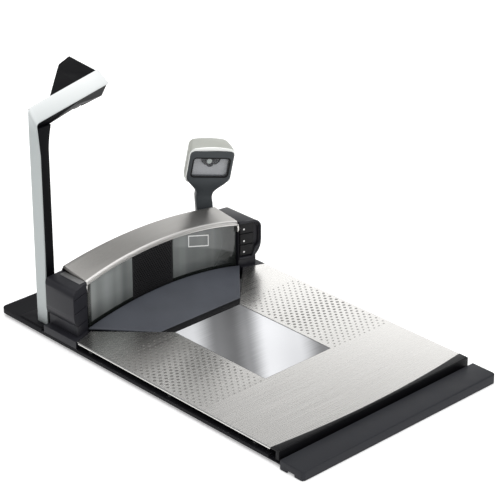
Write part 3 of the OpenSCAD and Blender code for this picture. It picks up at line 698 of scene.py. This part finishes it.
def add_dimple(bm, cx, cy, rx, ry):
    """One raised dot, in the piece's second material: darker steel painted on as the dot's shade. Returns its
    base loop, a hole in the sheet's top.
    """
    sides, height, narrower, lower = 10, 0.42, 0.62, 0.72
    base = ring(bm, [(x, y, 0) for x, y in circle_points(cx, cy, rx, ry, sides)])
    inner = circle_points(cx, cy, rx * narrower, ry * narrower, sides)
    shoulder = ring(bm, [(x, y, height * lower) for x, y in inner])
    crown = bm.verts.new(deck(cx, cy, height))
    for i in range(sides):
        j = (i + 1) % sides
        bm.faces.new((base[i], base[j], shoulder[j], shoulder[i])).material_index = 1
        bm.faces.new((shoulder[i], shoulder[j], crown)).material_index = 1
    return base


def make_platter_deck():
    """The steel sheet with a rolled rim, folded side lips and two fields of raised dots. Its rim and the dots
    are painted darker as shade.
    """
    bm = bmesh.new()
    rings = rounded_plate_rings(platter_outline(), -SHEET, 0, 0.6)
    rows = [ring(bm, r) for r in rings]
    grid_faces(bm, rows, close_columns=True)
    # painted shade: the sheet's rim and edge take the darker pale_strip steel, a shadow gap along the edge
    paint_from(bm, 0, 2)
    fill_plane(bm, [rows[0]])
    bases = [add_dimple(bm, *dimple) for dimple in dimples()]
    fill_plane(bm, [rows[-1]] + bases)
    for side in (-1, 1):
        x0, x1 = sorted((side * (HALF_W - 1.4), side * HALF_W))
        lip = rounded_rectangle(x0, x1, 1, SIDE_LENGTH - 1, 0.5)
        loft(bm, rounded_plate_rings(lip, -3, -SHEET, 0.3))
    finish_piece(bm, "platter_deck", [MATERIALS["brushed_deck"], DIMPLE_PAINTED_SHADE, MATERIALS["pale_strip"]])


def make_ramp():
    """The slate ramp, which starts flat behind the strip and rises into the arch under the bonnet's panes."""
    columns, depth_steps, skin = 64, 20, 2.0
    bm = bmesh.new()
    lines = []
    for t in spread_out(0, 1, depth_steps):
        half = STRIP_HALF + (RAMP_BACK_HALF - STRIP_HALF) * t
        y = STRIP_REAR + (RAMP_BACK - STRIP_REAR) * t
        lines.append([(across * half, y, ramp_rear_z(across * RAMP_BACK_HALF) * t ** 1.12)
                      for across in spread_out(-1, 1, columns)])
    top = [ring(bm, line) for line in lines]
    low = [ring(bm, [(x, y, z - skin) for x, y, z in line]) for line in lines]
    grid_faces(bm, top)
    grid_faces(bm, low)
    rims = [rows[0] + [r[-1] for r in rows[1:]] + rows[-1][-2::-1] + [r[0] for r in rows[-2:0:-1]]
            for rows in (top, low)]
    grid_faces(bm, rims, close_columns=True)
    bmesh.ops.recalc_face_normals(bm, faces=bm.faces)
    soften(bm, 0.5, 2, 60)
    finish_piece(bm, "ramp_panel", name="ramp_finished")


def make_ramp_strip():
    """The black strip between the glass and the ramp."""
    bm = bmesh.new()
    front_half, rear_half = GLASS_HALF - 0.2, STRIP_HALF - 0.2
    front, rear = GLASS_REAR + 0.1, STRIP_REAR - 0.1
    outline = [(-front_half, front), (front_half, front), (rear_half, rear), (-rear_half, rear)]
    loft(bm, rounded_plate_rings(outline, -SHEET, 0.2, 0.35))
    finish_piece(bm, "ramp_strip")


# ---------------- bonnet

COVER_FRONT, COVER_REAR = 331.5, 374.5
GRILLE = (-48.0, 14.0)
PANE_FRONT = 333.0
PANE_DROP = 1.9
PANE_LOW = -4.0


def cover_profile(x, fold, lip):
    """The cover's section at x: a turned-down lip and a roll at the front and rear, and a sloping top."""
    front_z, rear_z = cover_front_z(x), cover_rear_z(x)
    slope = (rear_z - front_z) / (COVER_REAR - COVER_FRONT)
    front_roll = [math.radians(180 - 84 * k / 5) for k in range(6)]
    rear_roll = [math.radians(96 - 96 * k / 5) for k in range(6)]
    top = [COVER_FRONT + fold + (COVER_REAR - COVER_FRONT - 2 * fold) * k / 8 for k in range(1, 8)]
    return ([(x, COVER_FRONT, front_z - lip), (x, COVER_FRONT, front_z - lip / 2)]
            + [(x, COVER_FRONT + fold + fold * math.cos(a), front_z - fold + fold * math.sin(a))
               for a in front_roll]
            + [(x, y, front_z + slope * (y - COVER_FRONT)) for y in top]
            + [(x, COVER_REAR - fold + fold * math.cos(a), rear_z - fold + fold * math.sin(a))
               for a in rear_roll]
            + [(x, COVER_REAR, rear_z - lip / 2), (x, COVER_REAR, rear_z - lip)])


def make_bonnet_cover():
    """The arched steel cover: a brushed top with a rolled front, turned-down lips and closed ends. Its rolled
    front takes a paler steel as a painted highlight.
    """
    stations, fold, lip, sheet, end_radius = 72, 3.2, 5.5, 1.2, 0.8
    bm = bmesh.new()
    rows = [ring(bm, cover_profile(x, fold, lip)) for x in spread_out(-BONNET_HALF, BONNET_HALF, stations)]
    grid_faces(bm, rows)
    for row in (rows[0], rows[-1]):
        bm.faces.new(row)
    bmesh.ops.recalc_face_normals(bm, faces=bm.faces)
    bmesh.ops.bevel(bm, geom=sharp_edges(bm, 60), offset=end_radius * MM, segments=3, profile=0.5,
                    affect="EDGES")
    bm = thickened(plain_object(bm, "cover_shell"), sheet)
    # painted highlight: the faces in front of the roll's end take the paler lip steel
    roll_end = deck(0, COVER_FRONT + fold, 0).y
    for face in bm.faces:
        if face.calc_center_median().y < roll_end:
            face.material_index = 1
    finish_piece(bm, "bonnet_cover", [MATERIALS["brushed_cover"], COVER_LIP_HIGHLIGHT])


def grille_holes():
    """Staggered round holes, in rows that end below the panel's arched top."""
    pitch, radius, sides = 3.1, 0.95, 8
    low, highest, edge, top_margin = 6.0, 80, 2.6, PANE_DROP + 5.6
    holes = []
    row, z = 0, low
    while z < highest:
        x = GRILLE[0] + edge + (pitch / 2 if row % 2 else 0)
        while x < GRILLE[1] - edge + 0.01:
            if z < min(cover_front_z(x - 1), cover_front_z(x + 1)) - top_margin:
                holes.append(circle_points(x, z, radius, radius, sides, math.pi / sides))
            x += pitch
        row += 1
        z += pitch * 0.87
    return holes


def make_speaker_grille():
    """A flat black panel with an arched top and round holes through it."""
    bm = bmesh.new()
    left, right = GRILLE
    sheet = 1.6
    arched_top = [(x, cover_front_z(x) - PANE_DROP) for x in spread_out(right, left, 20)]
    outlines = [[(left, PANE_LOW), (right, PANE_LOW)] + arched_top] + grille_holes()
    fronts = []
    for y in (PANE_FRONT, PANE_FRONT + sheet):
        loops = [ring(bm, [(x, y, z) for x, z in outline]) for outline in outlines]
        fill_plane(bm, loops)
        fronts.append(loops)
    for front, back in zip(*fronts):
        grid_faces(bm, [front, back], close_columns=True)
    finish_piece(bm, "speaker_grille", smooth_angle=50)


def make_baffles():
    """Folded light baffles behind the panes, seen through them as upright bands. Their facets take lit and
    shaded copies of one grey as painted light and shade.
    """
    folds = {
        "left_baffle": [(-113, 350), (-106, 358), (-102, 350), (-97, 364), (-78, 367), (-70, 350), (-64, 360),
                        (-58, 350), (-52, 346)],
        "right_baffle": [(18, 346), (22, 364), (78, 367), (84, 350), (90, 362), (95, 350), (103, 360),
                         (108, 350), (113, 346)],
    }
    sheet, foot, gap, wide = 0.8, -2, 4, 12
    for name, plan in folds.items():
        bm = bmesh.new()
        for i, ((x0, y0), (x1, y1)) in enumerate(zip(plan, plan[1:])):
            # painted light and shade: wide facets take the lit grey, and the narrow ones alternate between
            # half-shaded and shaded
            tone = 0 if abs(x1 - x0) > wide else (1 if i % 2 else 2)
            top0, top1 = cover_front_z(x0) - gap, cover_front_z(x1) - gap
            before = len(bm.faces)
            front, back = [ring(bm, [(x0, y0 + depth, foot), (x1, y1 + depth, foot), (x1, y1 + depth, top1),
                                     (x0, y0 + depth, top0)]) for depth in (0, sheet)]
            grid_faces(bm, [front, back], close_columns=True)
            bm.faces.new(front)
            bm.faces.new(back)
            paint_from(bm, before, tone)
        finish_piece(bm, name=name, body="base", slot="inner_black",
                     materials=[PAINTED_LIT_GREY, BAFFLE_PAINTED_HALF_SHADE, BAFFLE_PAINTED_SHADE])


def make_pane_label():
    """A small plain outline on the right pane, with its top and bottom edges falling to the right."""
    x0, x1, z0, z1, fall, line = 38.5, 71.0, 51.5, 66.5, 9.0 / 32.5, 1.3
    bm = bmesh.new()
    loops = []
    for y in (PANE_FRONT - 0.15, PANE_FRONT + 0.02):
        for inset in (0, line):
            corners = ((x0 + inset, z0 + inset), (x1 - inset, z0 + inset), (x1 - inset, z1 - inset),
                       (x0 + inset, z1 - inset))
            loops.append(ring(bm, [(x, y, z - (x - x0) * fall) for x, z in corners]))
    front_outer, front_inner, back_outer, back_inner = loops
    for pair in ((front_outer, front_inner), (back_outer, back_inner), (front_outer, back_outer),
                 (front_inner, back_inner)):
        grid_faces(bm, list(pair), close_columns=True)
    finish_piece(bm, name="pane_label", materials=[WHITE_MARK], body="base", slot="pale_strip")


# ---------------- end caps and buttons

CAP_INNER, CAP_OUTER = 118.0, 146.0
CAP_FOOT, CAP_TOP = -9.9, 59.8
CAP_FRONT, CAP_REAR = 331.0, 375.0
CAP_ANGLE = math.atan2(10, 28)
FOOT_X = CAP_OUTER - 7


def arc_points(cx, cy, radius, start, end, steps):
    """An arc from one angle to another, in degrees."""
    angles = [math.radians(a) for a in spread_out(start, end, steps)]
    return [(cx + radius * math.cos(a), cy + radius * math.sin(a)) for a in angles]


def face_point(s, depth, z):
    """A point on the right cap's angled face: s from its inner edge outwards, depth behind the face."""
    return (CAP_INNER + s * math.cos(CAP_ANGLE) + depth * math.sin(CAP_ANGLE),
            CAP_FRONT - s * math.sin(CAP_ANGLE) + depth * math.cos(CAP_ANGLE), z)


def cap_body(side):
    """The cap's outer form: its front profile and its plan cut each other, then every edge is rounded."""
    top_r, tuck_r = 9, 26
    tuck_end = -math.degrees(math.acos((FOOT_X - CAP_OUTER + tuck_r) / tuck_r))
    profile = ([(CAP_INNER, CAP_FOOT), (CAP_INNER, CAP_TOP)]
               + arc_points(CAP_OUTER - top_r, CAP_TOP - 1.5 - top_r, top_r, 90, 0, 12)
               + arc_points(CAP_OUTER - tuck_r, 30, tuck_r, 0, tuck_end, 12) + [(FOOT_X, CAP_FOOT)])
    front = CAP_FRONT - (CAP_OUTER - CAP_INNER) * math.tan(CAP_ANGLE)
    plan = ([(CAP_INNER, CAP_REAR), (CAP_INNER, CAP_FRONT), (CAP_OUTER, front)]
            + arc_points(CAP_OUTER - 6, CAP_REAR - 6, 6, 0, 90, 8))
    block = lofted([[(side * x, y, z) for x, z in profile] for y in (300, 380)], "cap_profile")
    cutter = lofted([[(side * x, y, z) for x, y in plan] for z in (CAP_FOOT, 62)], "cap_plan")
    boolean(block, cutter, "INTERSECT")
    bm = bmesh_of(block)
    bmesh.ops.remove_doubles(bm, verts=bm.verts, dist=1e-5)
    bmesh.ops.dissolve_limit(bm, angle_limit=FLAT, verts=bm.verts, edges=bm.edges)
    soften(bm, 1.3, 4, 30)
    return plain_object(bm, "cap_rounded")


def cap_plinth(side):
    """The low ledge at the cap's foot that meets the steel."""
    outline = [(CAP_INNER, CAP_REAR), (CAP_INNER, 332), (120.8, 332), (120.8, 326.1), (148, 316.6),
               (148, CAP_REAR)]
    points = [(side * x, y) for x, y in outline]
    if side < 0:
        points.reverse()
    return rounded_plate_rings(points, CAP_FOOT, -0.5, 0.6)


def seam_cutter(z):
    """A cutter for one groove across the left cap's angled face."""
    corners = [(2.5, -1.5), (27, -1.5), (27, 0.9), (2.5, 0.9)]
    sections = []
    for level in (z, z + 0.9):
        points = [face_point(s, d, level) for s, d in corners]
        sections.append([(-x, y, h) for x, y, h in points])
    return lofted(sections, "seam")


def make_left_cap():
    """The left cap, with three grooves across its face."""
    cap = cap_body(-1)
    for z in (47.6, 30.2, 12.6):
        boolean(cap, seam_cutter(z))
    bm = bmesh_of(cap)
    loft(bm, cap_plinth(-1))
    finish_piece(bm, "left_end_cap")


def rim_path():
    """The D-shaped rim around the right cap's buttons, as (s, z) from the top inner end round to the foot."""
    return ([(0.5, 57.6), (14, 57.6)] + arc_points(19.5, 49, 8.6, 90, 0, 8)
            + arc_points(16.1, 33, 12.0, 0, -62, 8) + [(17.5, 10.6), (0.5, 10.6)])


def rim_sections(path):
    """Oval sections of the rim, square to its path on the cap's face."""
    half_width, half_depth, sunk = 1.5, 1.9, 0.3
    sections = []
    for i, (s, z) in enumerate(path):
        before = Vector(path[max(0, i - 1)])
        after = Vector(path[min(len(path) - 1, i + 1)])
        along = (after - before).normalized()
        across = Vector((-along.y, along.x))
        section = []
        for a in range(0, 360, 30):
            w = half_width * math.cos(math.radians(a))
            d = half_depth * math.sin(math.radians(a)) - sunk
            section.append(face_point(s + across.x * w, d, z + across.y * w))
        sections.append(section)
    return sections


def make_right_cap():
    """The right cap: a pocket for the buttons inside a proud D-shaped rim."""
    cap = cap_body(1)
    pocket = [(0.4, 12.2), (16.5, 12.2), (21.0, 15.5), (25.6, 29), (25.9, 49), (21.5, 55.8), (0.4, 55.8)]
    boolean(cap, lofted([[face_point(s, d, z) for s, z in pocket] for d in (-3, 2.6)], "pocket"))
    bm = bmesh_of(cap)
    loft(bm, cap_plinth(1))
    loft(bm, rim_sections(rim_path()))
    finish_piece(bm, "right_end_cap")


def make_button(name, z, mark_z):
    """A key cap with rounded edges and one plain white dot."""
    height, gap = 14.6, 0.4
    half_h = height / 2 - gap
    bm = bmesh.new()
    outline = rounded_rectangle(1.6, 20.0, z - half_h, z + half_h, 1.0)
    loft(bm, [[face_point(s, -d, h) for s, h, d in r] for r in rounded_plate_rings(outline, -3.4, 0.4, 0.7)])
    dot = circle_points(7, mark_z, 1.1, 1.1, 16)
    loft(bm, [[face_point(s, d, h) for s, h in dot] for d in (-0.55, -0.3)], 1)
    finish_piece(bm, name, [MATERIALS["button_black"], WHITE_MARK])


def make_cap_strip():
    """The pale strip along the left cap's inner top edge, lying on its slope."""
    bm = bmesh.new()
    slope = math.tan(math.radians(4.5))
    outline = rounded_rectangle(-CAP_INNER - 8.4, -CAP_INNER - 0.6, 333.5, 369, 0.8)
    rings = rounded_plate_rings(outline, -0.3, 0.45, 0.25)
    loft(bm, [[(x, y, z + CAP_TOP + (x + CAP_INNER) * slope) for x, y, z in r] for r in rings])
    finish_piece(bm, "cap_strip")


# ---------------- overhead reader

MAST_X, MAST_FRONT, MAST_REAR = -138.0, 381.0, 399.0
FOLD_REAR = Vector((MAST_X, MAST_REAR, 257.2))
FOLD_FRONT = Vector((MAST_X, 385.4, 242.0))
BAND_RUN = Vector((102.0, 0.0, 20.2))
BAND_RUN_FRONT = Vector((106.5, 0.0, 21.1))


def ribbon_line(front):
    """One long edge of the silver ribbon, from the mast's foot round the soft fold to the arm's end."""
    fold = FOLD_FRONT if front else FOLD_REAR
    run = BAND_RUN_FRONT if front else BAND_RUN
    foot_y = MAST_FRONT if front else MAST_REAR
    soft, lean_start, fold_steps = 7.0, 205.0, 8
    points = []
    for z in (-8.0, 60.0, 130.0, 190.0, lean_start, 215.0, 225.0):
        lean = max(0.0, (z - lean_start) / (fold.z - lean_start))
        points.append(Vector((MAST_X, foot_y + (fold.y - foot_y) * lean, z)))
    before = fold + (points[-1] - fold).normalized() * soft
    after = fold + run.normalized() * soft
    for t in spread_out(0, 1, fold_steps):
        points.append(before * (1 - t) ** 2 + fold * (2 * t * (1 - t)) + after * t ** 2)
    return points + [fold + run * t for t in (0.3, 0.55, 0.8, 1.0)]


def make_mast_ribbon():
    """The silver sheet that faces the column, folds softly at its top and runs along the arm."""
    across, thickness = 6, 1.9
    bm = bmesh.new()
    grid_faces(bm, [ring(bm, [a + (b - a) * k / across for k in range(across + 1)])
                    for a, b in zip(ribbon_line(False), ribbon_line(True))])
    bmesh.ops.recalc_face_normals(bm, faces=bm.faces)
    if sum(f.normal.x for f in bm.faces) > 0:
        bmesh.ops.reverse_faces(bm, faces=bm.faces)
    bm = thickened(mesh_object(bm, "ribbon_sheet"), thickness)
    soften(bm, 0.45, 3, 50)
    finish_piece(bm, "mast_trim", name="mast_ribbon", extra_nodes=("arm_band",), smooth_angle=50)


def make_mast_column():
    """The black column behind the ribbon, which widens smoothly into the arm."""
    x0, x1 = MAST_X + 2, MAST_X + 14.3
    swell_start, top = 207.0, 236.5
    sections = []
    for z in (-8.0, 40.0, 120.0, 200.0, 210.0, 215.0, 220.0, 225.0, 230.0, top):
        swell = max(0.0, (z - swell_start) / (top - swell_start))
        outline = rounded_rectangle(x0, x1 + 7 * swell ** 1.6, MAST_FRONT + 3.5 * swell ** 1.3, MAST_REAR,
                                    1.6, 4)
        sections.append([(x, y, z) for x, y in outline])
    bm = bmesh.new()
    loft(bm, sections)
    finish_piece(bm, "mast_column")


# ---------------- customer scanner

NECK_POSITION = Vector((117.0, 390.0, 0.0))
NECK_FRAME = Matrix.Translation(NECK_POSITION) @ Matrix.Rotation(math.radians(-26.4), 4, "Z")
HEAD_FRAME = (NECK_FRAME @ Matrix.Translation((0, 0, 88)) @ Matrix.Rotation(math.radians(8), 4, "Y")
              @ Matrix.Rotation(math.radians(8), 4, "X"))
NECK_HALF = 10.5
BEZEL_HALF, BEZEL_TOP, BEZEL_FACE = 28.0, 52.0, -9.0
WINDOW = (-22.4, 22.4, 18.5, 43.3)


def in_frame(matrix, points):
    """Deck points from points in the neck's or the head's own frame."""
    return [matrix @ Vector(p) for p in points]


def head_slab(outline, y0, y1):
    """Sections of an upright plate in the head, from y0 back to y1."""
    return [in_frame(HEAD_FRAME, [(x, y, z) for x, z in outline]) for y in (y0, y1)]


def window_outline(grow, radius):
    """The head's window in x and z, larger by grow on every side."""
    x0, x1, z0, z1 = WINDOW
    return rounded_rectangle(x0 - grow, x1 + grow, z0 - grow, z1 + grow, radius)


def arched(x, z, rise=2.0):
    """The crown's arch: lifts the upper part of the head towards its middle."""
    start, height = 40, 12
    return z + rise * (1 - (x / BEZEL_HALF) ** 2) * max(0.0, (z - start) / height)


def customer_form():
    """The neck, its flare and the bezel as one rounded form."""
    radius, shoulder, rounding = 2.6, 47, 4.5
    sections = []
    for z in (-1.7, 15.0, 35.0, 50.0, 60.0, 66.0):
        lean = blended(0.0, -1.6, z, 40, 72)
        outline = split_sides(rounded_rectangle(lean - NECK_HALF, lean + NECK_HALF, -5.5, 5.5, radius))
        sections.append(in_frame(NECK_FRAME, [(x, y, z) for x, y in outline]))
    for z in (-13.0, -9.0, -6.0, -3.0, 0.0, 2.5, 5.0, 7.5, 10.0, 12.5, 15.0, 18.0, 22.0, 36.0, 44.0, 48.0,
              50.0, 51.2, BEZEL_TOP):
        half = blended(NECK_HALF, BEZEL_HALF, z, -9, 18)
        if z > shoulder:
            drop = (z - shoulder) / (BEZEL_TOP - shoulder)
            half = BEZEL_HALF - rounding * (1 - math.sqrt(max(0.0, 1 - drop ** 2)))
        front = blended(-5.8, BEZEL_FACE, z, -8, 12)
        back = blended(5.5, 4.0, z, -8, 12)
        outline = split_sides(rounded_rectangle(-half, half, front, back, radius))
        sections.append(in_frame(HEAD_FRAME, [(x, y, arched(x, z)) for x, y in outline]))
    return lofted(sections, "customer_form")


def make_customer_body():
    """The neck and bezel, with the window's stepped recess in its face and a rim around the window."""
    body = customer_form()
    for grow, depth in ((1.8, -8.1), (0.0, -2.5)):
        boolean(body, lofted(head_slab(window_outline(grow, 3.2 + grow), -14, depth), "recess"))
    bm = bmesh_of(body)
    outer, inner = window_outline(1.7, 4.8), window_outline(-0.3, 2.9)
    rims = [ring(bm, in_frame(HEAD_FRAME, [(x, y, z) for x, z in loop]))
            for y in (-8.4, -7.5) for loop in (outer, inner)]
    outer_front, inner_front, outer_back, inner_back = rims
    before = len(bm.faces)
    for pair in ((outer_front, inner_front), (inner_front, inner_back), (inner_back, outer_back),
                 (outer_back, outer_front)):
        grid_faces(bm, pair, close_columns=True)
    paint_from(bm, before, 1)
    finish_piece(bm, "customer_body", [MATERIALS["customer_black"], MATERIALS["button_black"]],
                 smooth_angle=40)


def make_customer_shell():
    """The pale shell around the bezel's back, sides and top, with an arched crown and a painted highlight
    along its front rim.
    """
    stations = ((-6.9, 28.0, 10.0, 53.6), (-6.0, 28.4, 9.0, 54.6), (-3.5, 28.4, 8.5, 55.2),
                (4.0, 27.6, 8.0, 55.6), (12.0, 26.0, 9.5, 55.6), (17.0, 24.2, 12.5, 54.6),
                (20.0, 21.8, 15.5, 52.6), (22.0, 17.5, 20.0, 49.0))
    sections = []
    for y, half, low, high in stations:
        outline = split_sides(rounded_rectangle(-half, half, low, high, 5.5))
        sections.append(in_frame(HEAD_FRAME, [(x, y, arched(x, z, 2.8)) for x, z in outline]))
    bm = bmesh.new()
    loft(bm, sections)
    bm.verts.index_update()
    # painted highlight: the front rim's faces take the bright rim metal
    rim_end = 2 * len(sections[0])
    for face in bm.faces:
        if max(vertex.index for vertex in face.verts) < rim_end:
            face.material_index = 1
    shell = plain_object(bm, "shell_form")
    pocket = rounded_rectangle(-25.5, 25.5, 13.5, 50.5, 4.0)
    boolean(shell, lofted(head_slab(pocket, -14, 3), "pocket"))
    finish_piece(bmesh_of(shell), "customer_shell", [MATERIALS["customer_silver"], CUSTOMER_RIM_HIGHLIGHT],
                 smooth_angle=45)


def make_customer_window():
    """The clear window over the chamber."""
    bm = bmesh.new()
    loft(bm, head_slab(window_outline(-0.3, 2.9), -7.6, -6.6))
    finish_piece(bm, "customer_window", [CUSTOMER_GLASS])


def make_customer_inside():
    """The pale chamber behind the window, with the dark hood and the lens of its imager, whose pale disc is a
    painted highlight.
    """
    top = WINDOW[3] - 0.4
    hood = [(-13.5, top), (-11.5, 37.5), (-7.5, 33.5), (-1.5, 32.6), (2.5, 33.5), (8.0, 34.2), (11.0, 38.0),
            (12.5, top)]
    lens = circle_points(-2, 38.4, 3.2, 3.2, 24)
    bm = bmesh.new()
    loft(bm, head_slab(window_outline(0.2, 3.0), -3.6, -2.6))
    loft(bm, head_slab(hood, -5.6, -3.7), 1)
    # painted highlight: the lens disc in the pale lit grey
    loft(bm, head_slab(lens, -6.05, -5.5), 2)
    finish_piece(bm, name="customer_chamber", body="customer_scanner", slot="inner_black",
                 materials=[CUSTOMER_INSIDE, MATERIALS["button_black"], PAINTED_LIT_GREY])


# ---------------- everything


def make_softened_nodes():
    """CAD nodes whose form is right and only need their edges rounded."""
    widths = {
        "front_bar": 1.6, "rear_plate": 1.0, "rail_carrier": 0.35, "produce_rail": 0.3,
        "mast_foot_cover": 0.5, "reader_housing": 2.0, "lower_housing": 0.8, "platter_glass": 0.25,
        "swivel_base": 0.6, "platter_backing": 0.5, "connector_block": 0.5, "bonnet_rear_cover": 0.5,
    }
    for node, width in widths.items():
        softened_node(node, width)
    # painted highlight: the counter frame's rounded edges take the pale edge metal
    softened_node("counter_frame", 0.6, edge_material=FRAME_EDGE_HIGHLIGHT)


def finish_remaining_nodes():
    """Gives every CAD node that still shows its slot's material."""
    for name, node in frame["nodes"].items():
        node.data.materials.clear()
        node.data.materials.append(MATERIALS[NODE_SLOT[name]])


def make_floor():
    """The counter: a pale plane at the frame's underside, cut out for the housing."""
    low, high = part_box("lower_housing")
    gap, reach = 1.5 * MM, 14.0
    inner = [(low.x - gap, low.y - gap), (high.x + gap, low.y - gap), (high.x + gap, high.y + gap),
             (low.x - gap, high.y + gap)]
    outer = [(-reach, -reach), (reach, -reach), (reach, reach), (-reach, reach)]
    bm = bmesh.new()
    z = COUNTER_Z - 0.2 * MM
    rows = [[bm.verts.new((x, y, z)) for x, y in loop] for loop in (inner, outer)]
    grid_faces(bm, rows, close_columns=True)
    floor = mesh_object(bm, "counter")
    floor.data.materials.append(counter_white("counter_white"))


def make_area_light(name, location, target, size, power, roll=0.0):
    """A rectangular panel, in watts, that faces target and isn't seen itself. roll turns it in its plane."""
    data = bpy.data.lights.new(name, "AREA")
    data.shape = "RECTANGLE"
    data.size, data.size_y = size
    data.energy = power
    lamp = add_object(name, data)
    lamp.location = location
    lamp.rotation_euler = (Vector(target) - Vector(location)).to_track_quat("-Z", "Y").to_euler()
    lamp.rotation_euler.rotate_axis("Z", math.radians(roll))
    lamp.visible_camera = False


def make_lights():
    """Plain studio light: a white world, a big panel overhead and three small ones."""
    world = bpy.data.worlds.new("studio")
    bpy.context.scene.world = world
    world.use_nodes = True
    background = world.node_tree.nodes["Background"]
    background.inputs["Color"].default_value = (1, 1, 1, 1)
    background.inputs["Strength"].default_value = 0.42
    make_area_light("overhead", (-0.3, -0.2, 2.2), (0, 0, 0.1), (4.0, 4.0), 66)
    make_area_light("right_panel", (0.62, 0.55, 0.36), (-1.0, 0.55, 0.36), (1.0, 0.45), 1.85, roll=14)
    make_area_light("front_left", (-1.6, -0.6, 1.1), (0, 0, 0.15), (0.7, 1.0), 1.0)
    make_area_light("front", (0.0, -2.4, 1.2), (0, 0, 0.15), (1.4, 0.8), 12)


def make_camera():
    """The viewpoint: 2.3 m away, looking down over the front left corner."""
    data = bpy.data.cameras.new("camera")
    data.sensor_width = 36
    data.lens = 151.2
    camera = add_object("camera", data)
    camera.location = deck(-1445.0, -1340.9, 1128.9)
    camera.rotation_euler = (math.radians(90 - 25.807), 0, math.radians(-43.418))
    bpy.context.scene.camera = camera


make_camera()
make_platter_deck()
make_ramp()
make_ramp_strip()
make_bonnet_cover()
make_speaker_grille()
for pane in ("left_window", "right_window"):
    softened_node(pane, 0.35, 2, 50)
make_baffles()
make_pane_label()
make_left_cap()
make_right_cap()
make_button("upper_button", 49.9, 48.6)
make_button("middle_button", 35.3, 33.0)
make_button("lower_button", 20.7, 18.5)
make_cap_strip()
make_mast_ribbon()
make_mast_column()
make_customer_body()
make_customer_shell()
make_customer_window()
make_customer_inside()
make_softened_nodes()
finish_remaining_nodes()
make_floor()
make_lights()
bpy.context.scene.view_settings.view_transform = "Standard"
